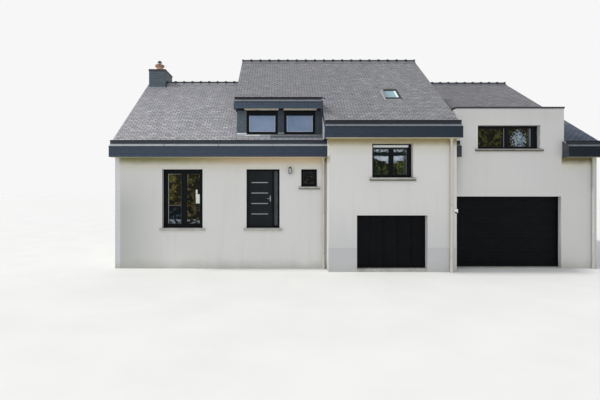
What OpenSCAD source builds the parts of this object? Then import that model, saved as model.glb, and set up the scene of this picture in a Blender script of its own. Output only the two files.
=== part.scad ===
// Detached split-level house with slate roofs, modelled at its real size.
// X runs along the front from left to right, Y from the front to the rear, Z up.
// Inside the Hidden section, x is measured from the left gable face, y from the
// main front wall and z from the drive. The origin lies under the middle.

/* [Plan] */
// Length of the house along its front, gable face to gable face
house_len = 17830; // [17700:10:18400]
// Depth of the left and tall parts, front wall face to rear wall face
house_depth = 8300; // [8100:10:8700]
// Depth of the right wing
wing_depth = 12400; // [12000:10:13000]
// Thickness of the outer walls
wall_t = 300; // [280:10:340]
// Distance from the left gable to the tall part
tall_x = 4505; // [4300:5:4600]
// Thickness of the wall that carries the tall roof's left end
tall_wall_t = 200; // [180:10:220]
// Distance from the left gable to the projecting middle part
middle_x = 7820; // [7760:10:7880]
// Width of the projecting middle part
middle_w = 4540; // [4500:10:4600]
// How far the middle part stands in front of the main wall
middle_out = 650; // [550:10:750]

/* [Floors] */
// Thickness of the floor slabs
floor_t = 200; // [160:10:220]
// Floor of the small garage above the drive
garage_floor_z = 100; // [80:10:110]
// Floor of the wide garage above the drive
wide_floor_z = 30; // [20:5:50]
// Ground floor of the left part
left_floor_z = 1520; // [1510:10:1560]
// Floor of the dormer rooms
left_upper_z = 4150; // [4050:10:4200]
// Floor of the middle part over its garage
middle_floor_z = 2350; // [2250:10:2450]
// Attic floor of the middle part
attic_floor_z = 4950; // [4900:10:5000]
// Floor of the right wing over its garage
wing_floor_z = 2950; // [2900:10:3050]

/* [Roofs] */
// Pitch of the left and tall roofs
roof_pitch = 37.5; // [36:0.5:38]
// Pitch of the right wing's roof
wing_pitch = 31.2; // [30:0.2:32]
// Thickness of a roof slab, square to the slope
roof_t = 200; // [180:10:220]
// Underside of the main eaves
soffit_z = 4100; // [4050:10:4150]
// Underside of the middle part's front eaves
middle_soffit_z = 4720; // [4680:10:4760]
// Height of the slate-clad fascia
fascia_h = 390; // [360:10:400]
// Height of the dormer's fascia
dormer_fascia_h = 260; // [240:10:280]
// How far the eaves stand in front of the walls
eave_out = 350; // [330:10:400]
// Sloped zinc strip between the fascia and the gutter's upstand
strip_run = 120; // [100:5:140]
// Height of the gutter's upstand
upstand_h = 133; // [110:1:150]
// Height of the dormer gutter's upstand
dormer_upstand_h = 88; // [70:1:110]
// Thickness of the gutter sheet with its stiffening
gutter_t = 20; // [15:1:25]
// How far the gutter's drip edge stands in front of the fascia
drip_out = 15; // [10:1:20]
// Height of the drip edge
drip_h = 32; // [26:1:40]
// Thickness of fascia and soffit boards
board_t = 25; // [20:1:30]
// Thickness of the barge boards
barge_t = 30; // [25:1:40]
// Roof overhang at the left gable
left_verge = 90; // [70:5:120]
// Roof overhang at the right gable
right_verge = 110; // [80:5:140]
// Overhang of the tall roof on its left side
tall_left_verge = 160; // [120:5:180]
// Overhang of the tall roof on its right side
tall_right_verge = 70; // [60:5:100]
// Overhang of the middle part's roof on its left side
middle_left_verge = 140; // [120:5:160]
// Height of the ridge tiles above the slates
ridge_tile_h = 100; // [80:5:120]
// Width of one side of the ridge tiles
ridge_tile_w = 190; // [150:5:220]
// Thickness of the ridge tiles
ridge_tile_t = 60; // [40:5:80]
// Width of the flat top of the ridge tiles
ridge_flat_w = 60; // [40:5:80]
// How far the tall roof's ridge lies behind the middle between its two eaves walls
tall_ridge_back = 125; // [100:5:150]
// Bedding gap under roof slabs, ridge tiles and chimney, and round the skylight
bed = 0.1; // [0.05:0.05:0.3]
// Half the length of the joint between the tall roof's rear and the wing's front
cross_half = 420; // [400:5:450]

/* [Dormer] */
// Front face of the dormer behind the main front wall
dormer_in = 100; // [80:10:140]
// Thickness of the dormer's front
dormer_t = 200; // [180:10:220]
// Height of the dormer windows
dormer_window_h = 870; // [820:10:900]
// Sill height of the dormer windows
dormer_sill_z = 4980; // [4950:10:5010]
// Distance from the tall part's left edge to the first dormer window
dormer_left_in = 355; // [340:5:400]
// Width of the pier between the dormer windows
dormer_pier_w = 235; // [220:5:260]
// Distance from the second dormer window to the middle part
dormer_right_in = 395; // [370:5:430]
// Gap between window head and soffit
dormer_head_gap = 20; // [10:5:30]
// Overhang of the dormer's roof on its left side
dormer_verge = 65; // [50:5:80]
// Gap between the dormer's fascia and the middle roof's left edge
dormer_end_gap = 40; // [30:5:60]
// Top of the dormer's flat roof above its fascia
dormer_roof_rise = 70; // [50:5:90]
// Distance from the dormer's front to its windows
dormer_recess = 40; // [30:5:60]

/* [Wing bay] */
// Left edge of the flat-roofed bay, from the middle part's right face
bay_in = 250; // [230:10:300]
// Distance from the bay to the right gable's outer face
bay_right_in = 1210; // [1150:10:1260]
// Top of the bay's coping
bay_top_z = 5960; // [5900:10:6020]
// Thickness of the metal coping
coping_t = 30; // [20:5:40]
// How far the coping stands out from the wall
coping_out = 15; // [10:1:25]
// Depth of the flat roof below the parapet's top
parapet_h = 180; // [150:10:220]
// Thickness of the bay's flat roof
bay_slab_t = 200; // [180:10:220]
// How far the eave boxes lap in front of the bay's face
eave_lap = 65; // [50:5:80]

/* [Openings] */
// Left edge of the French window
french_x = 1740; // [1700:10:1800]
// Width of the French window
french_w = 1500; // [1460:10:1540]
// Left edge of the front door
door_x = 4860; // [4830:10:4890]
// Width of the front door with its sidelight
door_w = 1230; // [1220:10:1250]
// Head height of the French window, front door and ground floor windows
head_z = 3670; // [3650:10:3690]
// Left edge of the small window
small_window_x = 6890; // [6850:10:6920]
// Width of the small window
small_window_w = 595; // [560:5:620]
// Sill height of the small window
small_window_z = 3035; // [3000:5:3070]
// Left edge of the middle window, from the middle part's left face
middle_window_in = 1550; // [1500:10:1600]
// Width of the middle window
middle_window_w = 1450; // [1400:10:1500]
// Height of the middle window
middle_window_h = 1200; // [1160:10:1240]
// Sill height of the middle window
middle_window_z = 3350; // [3310:10:3380]
// Left edge of the bay window, from the bay's left edge
bay_window_in = 820; // [780:10:860]
// Distance from the bay window to the bay's right edge
bay_window_right = 870; // [830:10:900]
// Height of the bay window
bay_window_h = 870; // [840:10:900]
// Sill height of the bay window
bay_window_z = 4430; // [4410:10:4450]
// Left edge of the small garage door, from the middle part's left face
small_garage_in = 1010; // [960:10:1060]
// Width of the small garage door
small_garage_w = 2500; // [2450:10:2550]
// Head height of the small garage door
small_garage_h = 2000; // [1960:10:2050]
// Left edge of the wide garage door, from the middle part's right face
wide_garage_in = 160; // [140:10:180]
// Distance from the wide garage door to the right gable's outer face
wide_garage_right = 1310; // [1260:10:1360]
// Head height of the wide garage door
wide_garage_h = 2660; // [2620:10:2700]
// Distance from wall face to French window, front door and wide garage door
recess = 200; // [180:10:210]
// Distance from wall face to the small window
small_window_recess = 170; // [150:10:190]
// Distance from wall face to the small garage door
small_garage_recess = 230; // [210:5:250]
// Distance from wall face to the upper windows
window_recess = 205; // [190:5:215]
// Left edge of the first rear window of the left part
rear_left_x = 1500; // [1400:10:1600]
// Left edge of the second rear window of the left part
rear_middle_x = 5200; // [5100:10:5300]
// Sill height of the rear windows of the left part
rear_window_z = 2420; // [2400:10:2450]
// Left edge of the wing's rear window, from the wide garage door's left edge
rear_wing_in = 800; // [700:10:900]
// Sill height of the wing's rear window above its floor
rear_wing_sill = 400; // [350:10:450]
// Height of the wing's rear window
rear_wing_h = 650; // [600:10:690]

/* [Joinery] */
// Depth of window and door frames
frame_d = 70; // [60:5:80]
// Width of a window's frame and sash together
frame_w = 90; // [80:5:100]
// Width of a window's middle post
post_w = 150; // [130:5:170]
// Thickness of the glass units
glass_t = 24; // [20:2:30]
// Face width of the door and French window frames
jamb_w = 50; // [44:2:56]
// Thickness of door leaf and French window leaves
leaf_t = 60; // [56:2:60]
// Gap round a moving leaf
leaf_gap = 6; // [5:0.5:8]
// Gap between a leaf's outer face and the frame's stop
leaf_in = 5; // [5:0.5:6]
// Overlap of the frame's stop over a leaf
stop_lap = 12; // [10:1:16]
// Thickness of the frame's stop
stop_t = 9; // [8:1:12]
// Width of the front door's leaf
door_leaf_w = 888; // [870:2:900]
// Width of the post between the door leaf and its sidelight
door_post_w = 84; // [76:2:90]
// Width of a French window leaf's stiles and top rail
stile_w = 85; // [75:5:95]
// Height of a French window leaf's bottom rail
bottom_rail_h = 110; // [90:5:140]
// Radius of a hinge knuckle
knuckle_r = 11; // [9:0.5:13]
// Radius of a hinge pin
pin_r = 5; // [4:0.5:6]
// Height of a hinge knuckle
knuckle_h = 50; // [40:5:60]
// Radial running clearance of a hinge pin
pin_clear = 0.05; // [0.03:0.01:0.08]
// Distance from the frame's inner face to the hinge axis
hinge_out = 15; // [14:0.5:17]
// Width of a hinge's flap on the frame
frame_flap_w = 34; // [30:1:40]
// Thickness of a hinge's flap on the frame
frame_flap_t = 12; // [8:1:12]
// Width of a hinge's flap on the leaf
leaf_flap_w = 38; // [32:1:44]
// Thickness of a hinge's flap on the leaf
leaf_flap_t = 14; // [10:1:14]
// Distance of the first and last hinge from the leaf's ends
hinge_end_gap = 220; // [180:10:250]
// Height of the play between the two knuckles of a hinge
knuckle_play = 0.3; // [0.2:0.1:0.5]
// Height of a door handle above the leaf's foot
handle_up = 1050; // [1000:10:1100]
// Length of a handle's lever
lever_l = 125; // [110:5:140]
// How far a handle's lever stands off the leaf
lever_out = 45; // [40:1:55]

/* [Trim] */
// Thickness of the window sills
sill_t = 95; // [80:5:110]
// How far a sill stands in front of the wall
sill_out = 60; // [40:5:80]
// How far a sill runs past the opening on each side
sill_ear = 90; // [60:5:110]
// Thickness of the slabs under the French window and front door
step_t = 85; // [80:5:100]
// Top of the wall under those slabs, below the ground floor
step_drop = 120; // [115:5:130]
// Thickness of the garage doors
garage_door_t = 45; // [40:5:60]
// Width of the grooves in the garage doors
groove_w = 12; // [8:1:16]
// Diameter of the downpipes
pipe_d = 95; // [80:5:110]
// Gap between a downpipe and its wall
pipe_gap = 20; // [15:1:30]
// Distance of the left downpipe from the middle part's left face
left_pipe_in = 110; // [90:5:130]
// Distance of the middle downpipe from the middle part's right face
middle_pipe_in = 210; // [190:5:230]
// Distance of the right downpipe from the right gable
right_pipe_in = 170; // [150:5:190]

/* [Chimney and skylight] */
// Left face of the chimney
chimney_x = 15; // [10:5:40]
// Width of the chimney
chimney_w = 760; // [700:5:800]
// Depth of the chimney
chimney_d = 1160; // [1050:10:1250]
// Distance of the chimney's middle behind the ridge
chimney_behind = 250; // [200:10:300]
// Top of the chimney
chimney_top_z = 8525; // [8450:5:8600]
// Thickness of the chimney's cap
chimney_cap_t = 60; // [50:5:80]
// How far the chimney's cap stands out
chimney_cap_out = 15; // [10:1:20]
// Height of the clay pot
pot_h = 430; // [400:10:460]
// Radius of the clay pot's body
pot_r = 160; // [150:5:170]
// Middle of the clay pot, from the chimney's left face
pot_in = 325; // [300:5:380]
// Left edge of the skylight
skylight_x = 10180; // [10000:10:10300]
// Width of the skylight
skylight_w = 620; // [580:10:660]
// Length of the skylight along the slope
skylight_l = 880; // [840:10:920]
// Lower edge of the skylight behind the main front wall, in plan
skylight_y = 670; // [600:10:720]
// Width of the skylight's frame
skylight_bar = 75; // [60:5:90]
// Height of the skylight above the slates
skylight_up = 60; // [50:5:80]
// Underside of the skylight's glass above the slates
skylight_glass_up = 20; // [10:1:25]

/* [Hidden] */
$fn = 48;

// Ends and lines along the front
middle_end = middle_x + middle_w;
right_wall_x = house_len - wall_t;
bay_x = middle_end + bay_in;
bay_end = house_len - bay_right_in;
middle_inner_x = middle_x + wall_t;
middle_inner_end = middle_end - wall_t;
french_end = french_x + french_w;
door_end = door_x + door_w;
small_window_end = small_window_x + small_window_w;
middle_window_x = middle_x + middle_window_in;
middle_window_end = middle_window_x + middle_window_w;
bay_window_x = bay_x + bay_window_in;
bay_window_end = bay_end - bay_window_right;
bay_window_w = bay_window_end - bay_window_x;
small_garage_x = middle_x + small_garage_in;
small_garage_end = small_garage_x + small_garage_w;
wide_garage_x = middle_end + wide_garage_in;
wide_garage_end = house_len - wide_garage_right;
wide_garage_w = wide_garage_end - wide_garage_x;

// Roof lines, all in mm above the drive
main_ridge_y = house_depth / 2;
wing_ridge_y = wing_depth / 2;
tall_ridge_y = (house_depth - middle_out) / 2 + tall_ridge_back;
eave_z = soffit_z + fascia_h;
middle_eave_z = middle_soffit_z + fascia_h;
main_tan = tan(roof_pitch);
wing_tan = tan(wing_pitch);
main_slab_z = roof_t / cos(roof_pitch);
wing_slab_z = roof_t / cos(wing_pitch);

// Top of each roof at a depth y
function main_top(y) = eave_z + (main_ridge_y + eave_out - abs(y - main_ridge_y)) * main_tan;
function wing_top(y) = eave_z + (wing_ridge_y + eave_out - abs(y - wing_ridge_y)) * wing_tan;
function tall_top(y) = middle_eave_z
    + (tall_ridge_y + middle_out + eave_out - abs(y - tall_ridge_y)) * main_tan;
// Top of the walls under each roof at a depth y
function main_under(y) = main_top(y) - main_slab_z - bed;
function wing_under(y) = wing_top(y) - wing_slab_z - bed;
function tall_under(y) = tall_top(y) - main_slab_z - bed;
// Depth at which the tall roof's front slope reaches the height z
function tall_front_y(z) = (z - middle_eave_z) / main_tan - middle_out - eave_out;
// Depth at which the wing roof's front slope reaches the height z
function wing_front_y(z) = (z - eave_z) / wing_tan - eave_out;

// Depth at which the tall roof's rear slope meets the wing roof's front slope
roofs_cross_y = (tall_top(tall_ridge_y) + tall_ridge_y * main_tan
    - eave_z - eave_out * wing_tan) / (main_tan + wing_tan);
tall_rear_eave_z = tall_top(house_depth + eave_out);
slab_front = eave_out - strip_run - gutter_t;

dormer_soffit_z = dormer_sill_z + dormer_window_h + dormer_head_gap;
dormer_eave_z = dormer_soffit_z + dormer_fascia_h;
dormer_roof_z = dormer_eave_z + dormer_roof_rise;
dormer_back_y = tall_front_y(dormer_roof_z);
dormer_window_x = tall_x + dormer_left_in;
dormer_window_w = (middle_x - dormer_window_x - dormer_pier_w - dormer_right_in) / 2;
dormer_second_x = dormer_window_x + dormer_window_w + dormer_pier_w;
dormer_windows_end = dormer_second_x + dormer_window_w;
middle_roof_x = middle_x - middle_left_verge;

bay_wall_z = bay_top_z - coping_t;
bay_roof_z = bay_wall_z - parapet_h;
bay_back_y = wing_front_y(bay_roof_z);

rear_window_w = middle_window_w;
rear_wing_x = wide_garage_x + rear_wing_in;
wing_rear_z = wing_floor_z + rear_wing_sill;

base_top_z = left_floor_z - step_drop;
hinge_y = recess + frame_d + hinge_out;
door_top_z = head_z - jamb_w;
step_top_z = base_top_z + step_t;
door_leaf_x = door_x + jamb_w + leaf_gap;
door_post_x = door_leaf_x + door_leaf_w + leaf_gap;
french_hinge_x = french_x + jamb_w;
french_hinge_end = french_end - jamb_w;
french_leaf_w = (french_w - 2 * jamb_w - 3 * leaf_gap) / 2;
leaf_y = recess + leaf_in;
leaf_z = left_floor_z + leaf_gap;
leaf_h = door_top_z - leaf_gap - leaf_z;
hinge_low_z = leaf_z + hinge_end_gap;
hinge_mid_z = leaf_z + leaf_h / 2 - knuckle_h;
hinge_high_z = leaf_z + leaf_h - hinge_end_gap - 2 * knuckle_h;
hinge_zs = [hinge_low_z, hinge_mid_z, hinge_high_z];

// Middle of the whole house in plan, which becomes the origin
front_y = -middle_out - eave_out - drip_out;
rear_y = wing_depth + eave_out + drip_out;
mid_x = (house_len + right_verge - left_verge) / 2;
mid_y = (front_y + rear_y) / 2;

module place() {
    translate([-mid_x, -mid_y, 0]) children();
}

// A block from one corner to the other
module block(x0, x1, y0, y1, z0, z1) {
    translate([x0, y0, z0]) cube([x1 - x0, y1 - y0, z1 - z0]);
}

// A profile drawn in y and z, run from x0 to x1
module along_x(x0, x1, points) {
    translate([x0, 0, 0]) rotate([90, 0, 90]) linear_extrude(x1 - x0) polygon(points);
}

// WALLS

module front_wall_base() {
    color("#ece8dd") place() block(wall_t, middle_x, 0, wall_t, 0, base_top_z);
}

module front_wall_piers() {
    color("#ece8dd") place() {
        for (run = [[wall_t, french_x], [french_end, door_x], [door_end, small_window_x],
                    [small_window_end, middle_x]])
            block(run[0], run[1], 0, wall_t, base_top_z, head_z);
        for (run = [[middle_inner_x, small_garage_x], [small_garage_end, middle_inner_end]])
            block(run[0], run[1], -middle_out, wall_t - middle_out, 0, small_garage_h);
        for (run = [[middle_end, wide_garage_x], [wide_garage_end, right_wall_x]])
            block(run[0], run[1], 0, wall_t, 0, wide_garage_h);
    }
}

module front_wall_bands() {
    color("#ece8dd") place() {
        along_x(wall_t, middle_x, [[0, head_z], [wall_t, head_z],
            [wall_t, main_under(wall_t)], [0, main_under(0)]]);
        block(middle_inner_x, middle_inner_end, -middle_out, wall_t - middle_out,
            small_garage_h, middle_window_z - sill_t);
        block(middle_end, right_wall_x, 0, wall_t, wide_garage_h, bay_window_z - sill_t);
    }
}

module front_wall_infills() {
    color("#ece8dd") place() {
        block(small_window_x, small_window_end, 0, wall_t, base_top_z, small_window_z - sill_t);
        for (run = [[middle_inner_x, middle_window_x], [middle_window_end, middle_inner_end]])
            block(run[0], run[1], -middle_out, wall_t - middle_out,
                middle_window_z - sill_t, middle_window_z + middle_window_h);
        for (run = [[bay_x, bay_window_x], [bay_window_end, bay_end]])
            block(run[0], run[1], 0, wall_t, bay_window_z - sill_t,
                bay_window_z + bay_window_h);
    }
}

module front_wall_tops() {
    head = middle_window_z + middle_window_h;
    back = wall_t - middle_out;
    color("#ece8dd") place() {
        along_x(middle_inner_x, middle_inner_end, [[-middle_out, head], [back, head],
            [back, tall_under(back)], [-middle_out, tall_under(-middle_out)]]);
        block(bay_x, bay_end, 0, wall_t, bay_window_z + bay_window_h, bay_wall_z);
        for (run = [[middle_end, bay_x], [bay_end, right_wall_x]])
            along_x(run[0], run[1], [[0, bay_window_z - sill_t], [wall_t, bay_window_z - sill_t],
                [wall_t, wing_under(wall_t)], [0, wing_under(0)]]);
    }
}

module rear_wall_base() {
    inner = house_depth - wall_t;
    color("#ece8dd") place() {
        block(wall_t, middle_x, inner, house_depth, 0, rear_window_z - sill_t);
        block(middle_inner_x, middle_inner_end, inner, house_depth, 0,
            middle_window_z - sill_t);
        block(middle_end, right_wall_x, wing_depth - wall_t, wing_depth, 0,
            wing_rear_z - sill_t);
    }
}

module rear_wall_piers() {
    inner = house_depth - wall_t;
    color("#ece8dd") place() {
        for (run = [[wall_t, rear_left_x], [rear_left_x + rear_window_w, rear_middle_x],
                    [rear_middle_x + rear_window_w, middle_x]])
            block(run[0], run[1], inner, house_depth, rear_window_z - sill_t, head_z);
        for (run = [[middle_inner_x, middle_window_x], [middle_window_end, middle_inner_end]])
            block(run[0], run[1], inner, house_depth, middle_window_z - sill_t,
                middle_window_z + middle_window_h);
        for (run = [[middle_end, rear_wing_x], [rear_wing_x + bay_window_w, right_wall_x]])
            block(run[0], run[1], wing_depth - wall_t, wing_depth, wing_rear_z - sill_t,
                wing_rear_z + rear_wing_h);
    }
}

module rear_wall_tops() {
    inner = house_depth - wall_t;
    wing_inner = wing_depth - wall_t;
    wing_head = wing_rear_z + rear_wing_h;
    middle_head = middle_window_z + middle_window_h;
    color("#ece8dd") place() {
        along_x(wall_t, tall_x, [[inner, head_z], [house_depth, head_z],
            [house_depth, main_under(house_depth)], [inner, main_under(inner)]]);
        along_x(tall_x, middle_x, [[inner, head_z], [house_depth, head_z],
            [house_depth, tall_under(house_depth)], [inner, tall_under(inner)]]);
        along_x(middle_inner_x, middle_inner_end, [[inner, middle_head],
            [house_depth, middle_head], [house_depth, tall_under(house_depth)],
            [inner, tall_under(inner)]]);
        along_x(middle_end, right_wall_x, [[wing_inner, wing_head], [wing_depth, wing_head],
            [wing_depth, wing_under(wing_depth)], [wing_inner, wing_under(wing_inner)]]);
    }
}

module left_gable_wall() {
    color("#ece8dd") place()
        along_x(0, wall_t, [[0, 0], [house_depth, 0], [house_depth, main_under(house_depth)],
            [main_ridge_y, main_under(main_ridge_y)], [0, main_under(0)]]);
}

// The two long walls of the middle part are its gables as well
module middle_side_wall(x) {
    along_x(x, x + wall_t, [[-middle_out, 0], [house_depth, 0],
        [house_depth, tall_under(house_depth)], [tall_ridge_y, tall_under(tall_ridge_y)],
        [-middle_out, tall_under(-middle_out)]]);
}

module middle_left_wall() {
    color("#ece8dd") place() middle_side_wall(middle_x);
}

module middle_right_wall() {
    color("#ece8dd") place() middle_side_wall(middle_inner_end);
}

module wing_left_wall() {
    tip_y = under_cross_y() + bed / (main_tan + wing_tan);
    color("#ece8dd") place()
        along_x(middle_inner_end, middle_end, [[house_depth, 0], [wing_depth, 0],
            [wing_depth, wing_under(wing_depth)], [wing_ridge_y, wing_under(wing_ridge_y)],
            [tip_y, wing_under(tip_y)], [house_depth, tall_under(house_depth) + bed]]);
}

// Depth at which the undersides of the tall and wing roofs cross
function under_cross_y() = roofs_cross_y + (wing_slab_z - main_slab_z) / (main_tan + wing_tan);

module right_gable_wall() {
    color("#ece8dd") place()
        along_x(right_wall_x, house_len, [[0, 0], [wing_depth, 0],
            [wing_depth, wing_under(wing_depth)], [wing_ridge_y, wing_under(wing_ridge_y)],
            [0, wing_under(0)]]);
}

module tall_left_wall() {
    inner = house_depth - wall_t;
    color("#4b5561") place()
        along_x(tall_x, tall_x + tall_wall_t, [[wall_t, left_upper_z], [inner, left_upper_z],
            [inner, tall_under(inner)], [tall_ridge_y, tall_under(tall_ridge_y)],
            [dormer_back_y, tall_under(dormer_back_y)], [dormer_back_y, dormer_soffit_z],
            [dormer_in, dormer_soffit_z], [dormer_in, main_under(dormer_in) + bed],
            [wall_t, main_under(wall_t) + bed]]);
}

module bay_side_walls() {
    top_y = wing_front_y(bay_wall_z - bed);
    color("#ece8dd") place()
        for (x = [bay_x, bay_end - wall_t])
            along_x(x, x + wall_t, [[wall_t, wing_under(wall_t)],
                [bay_back_y, wing_under(bay_back_y)], [bay_back_y, wing_top(bay_back_y) + bed],
                [top_y, bay_wall_z], [wall_t, bay_wall_z]]);
}

// FLOORS

module ground_floors() {
    inner = house_depth - wall_t;
    color("#b9b5ac") place() {
        block(wall_t, middle_x, wall_t, inner, left_floor_z - floor_t, left_floor_z);
        block(middle_inner_x, middle_inner_end, wall_t - middle_out, inner, 0, garage_floor_z);
        block(middle_end, right_wall_x, wall_t, wing_depth - wall_t, 0, wide_floor_z);
    }
}

module upper_floors() {
    inner = house_depth - wall_t;
    front = wall_t - middle_out;
    color("#b9b5ac") place() {
        block(wall_t, middle_x, wall_t, inner, left_upper_z - floor_t, left_upper_z);
        block(middle_inner_x, middle_inner_end, front, inner, middle_floor_z - floor_t,
            middle_floor_z);
        block(middle_inner_x, middle_inner_end, front, inner, attic_floor_z - floor_t,
            attic_floor_z);
        block(middle_end, right_wall_x, wall_t, wing_depth - wall_t, wing_floor_z - floor_t,
            wing_floor_z);
    }
}

// ROOFS

// A roof slab between two depths on one slope, from its top and underside heights
module slab(x0, x1, y0, y1, top0, top1, thick) {
    along_x(x0, x1, [[y0, top0 - thick], [y1, top1 - thick], [y1, top1], [y0, top0]]);
}

module main_slab(x0, x1, y0, y1) {
    slab(x0, x1, y0, y1, main_top(y0), main_top(y1), main_slab_z);
}

module wing_slab(x0, x1, y0, y1) {
    slab(x0, x1, y0, y1, wing_top(y0), wing_top(y1), wing_slab_z);
}

module tall_slab(x0, x1, y0, y1) {
    slab(x0, x1, y0, y1, tall_top(y0), tall_top(y1), main_slab_z);
}

module left_roof_front() {
    color("#7d828a") place()
        main_slab(barge_t - left_verge, tall_x, -slab_front, main_ridge_y);
}

module left_roof_rear() {
    color("#7d828a") place()
        main_slab(barge_t - left_verge, tall_x, main_ridge_y, house_depth + slab_front);
}

module tall_roof_front() {
    color("#7d828a") place() difference() {
        tall_slab(tall_x - tall_left_verge + barge_t, middle_end + tall_right_verge - barge_t,
            dormer_back_y, tall_ridge_y);
        skylight_place() translate([-bed, -bed, -2 * roof_t])
            cube([skylight_w + 2 * bed, skylight_l + 2 * bed, 3 * roof_t]);
    }
}

module tall_roof_rear() {
    cut = roofs_cross_y - cross_half;
    color("#7d828a") place() {
        tall_slab(tall_x - tall_left_verge + barge_t, middle_inner_end,
            tall_ridge_y, house_depth + slab_front);
        tall_slab(middle_inner_end, middle_end + tall_right_verge - barge_t,
            tall_ridge_y, cut);
        tall_slab(middle_inner_end, middle_end, cut, under_cross_y());
    }
}

module wing_roof_front() {
    cut = roofs_cross_y + cross_half;
    right = house_len + right_verge - barge_t;
    color("#7d828a") place() {
        wing_slab(middle_end, right, bay_back_y, wing_ridge_y);
        wing_slab(middle_inner_end - left_verge + barge_t, middle_end, cut, wing_ridge_y);
        wing_slab(middle_inner_end, middle_end, under_cross_y(), cut);
    }
}

module wing_roof_rear() {
    color("#7d828a") place()
        wing_slab(middle_inner_end - left_verge + barge_t, house_len + right_verge - barge_t,
            wing_ridge_y, wing_depth + slab_front);
}

// The eave strips in front of the dormer, beside the bay, and of the middle part
module lower_roof_strips() {
    color("#7d828a") place() {
        main_slab(tall_x, middle_x, -slab_front, dormer_in);
        tall_slab(middle_roof_x + barge_t, middle_end + tall_right_verge - barge_t,
            -middle_out - slab_front, dormer_back_y);
        wing_slab(middle_end, bay_x, 0, bay_back_y);
        wing_slab(middle_end, bay_x + eave_lap - barge_t, -slab_front, 0);
        wing_slab(bay_end, house_len + right_verge - barge_t, 0, bay_back_y);
        wing_slab(bay_end - eave_lap + barge_t, house_len + right_verge - barge_t,
            -slab_front, 0);
    }
}

// Slate-clad cheek under the middle roof's left edge, from its eave box to the dormer
module middle_roof_cheek() {
    foot_y = main_front_y(middle_soffit_z - bed);
    color("#4b5561") place()
        along_x(middle_roof_x, middle_x, [[-middle_out, middle_soffit_z],
            [foot_y, middle_soffit_z], [dormer_in, main_top(dormer_in) + bed],
            [dormer_in, tall_under(dormer_in)], [-middle_out, tall_under(-middle_out)]]);
}

// Depth at which the main roof's front slope reaches the height z
function main_front_y(z) = (z - eave_z) / main_tan - eave_out;

// DORMER

module dormer_piers() {
    back = dormer_in + dormer_t;
    color("#4b5561") place() difference() {
        for (run = [[tall_x + tall_wall_t, dormer_window_x],
                    [dormer_window_x + dormer_window_w, dormer_second_x],
                    [dormer_windows_end, middle_x]])
            block(run[0], run[1], dormer_in, back, dormer_sill_z, dormer_soffit_z);
        translate([0, 0, -bed]) tall_slab(middle_roof_x, middle_x + 1, -middle_out, 2 * back);
    }
}

module dormer_sill_wall() {
    back = dormer_in + dormer_t;
    color("#4b5561") place()
        along_x(tall_x + tall_wall_t, middle_x, [[dormer_in, main_under(dormer_in) + bed],
            [back, main_under(back) + bed], [back, dormer_sill_z], [dormer_in, dormer_sill_z]]);
}

module dormer_roof() {
    color("#8c939a") place()
        along_x(tall_x - dormer_verge, middle_roof_x, [
            [dormer_in - slab_front, dormer_soffit_z + board_t],
            [dormer_in, dormer_soffit_z + board_t], [dormer_in, dormer_soffit_z],
            [dormer_back_y, dormer_soffit_z], [dormer_back_y, dormer_roof_z],
            [dormer_in - slab_front, dormer_roof_z]]);
}

// WING BAY

module bay_roof() {
    color("#8c939a") place()
        block(bay_x + wall_t, bay_end - wall_t, wall_t, bay_back_y, bay_roof_z - bay_slab_t,
            bay_roof_z);
}

module bay_coping() {
    back = wing_front_y(bay_wall_z);
    color("#3a3f45") place() difference() {
        block(bay_x - coping_out, bay_end + coping_out, -coping_out, back,
            bay_wall_z, bay_top_z);
        block(bay_x + wall_t + coping_out, bay_end - wall_t - coping_out,
            wall_t + coping_out, 2 * back, 0, 2 * bay_top_z);
    }
}

// EAVES
// Each eave is drawn with its wall face at y 0, the fascia's top edge at z 0,
// and the wall behind it. Rear eaves are mirrored.

module at_eave(y, z) {
    translate([0, y, z]) children();
}

module at_rear_eave(y, z) {
    translate([0, y, z]) mirror([0, 1, 0]) children();
}

function gutter_under(y, pitch_tan) = (y + eave_out) * pitch_tan - gutter_t;

module gutter(x0, x1, pitch_tan, upstand) {
    rise = strip_run * pitch_tan;
    front = -eave_out - drip_out;
    foot = -eave_out + strip_run;
    along_x(x0, x1, [[front, -drip_h], [front, -drip_out * pitch_tan], [foot, rise],
        [foot, rise + upstand], [foot + gutter_t, rise + upstand],
        [foot + gutter_t, gutter_under(-slab_front, pitch_tan)],
        [-eave_out, -gutter_t], [-eave_out, -drip_h]]);
}

// Front board with a closed end on each side that is named
module fascia(x0, x1, height, pitch_tan, slab_z, left_end, right_end) {
    back_top = eave_out * pitch_tan - slab_z - bed;
    difference() {
        along_x(x0, x1, [[-eave_out, -height], [0, -height], [0, back_top],
            [-slab_front, back_top - slab_front * pitch_tan],
            [-slab_front, gutter_under(-slab_front, pitch_tan)], [-eave_out, -gutter_t]]);
        block(left_end ? x0 + board_t : x0 - 1, right_end ? x1 - board_t : x1 + 1,
            board_t - eave_out, 1, -height - 1, height);
    }
}

module soffit(x0, x1, height) {
    block(x0, x1, board_t - eave_out, 0, -height, board_t - height);
}

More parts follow.
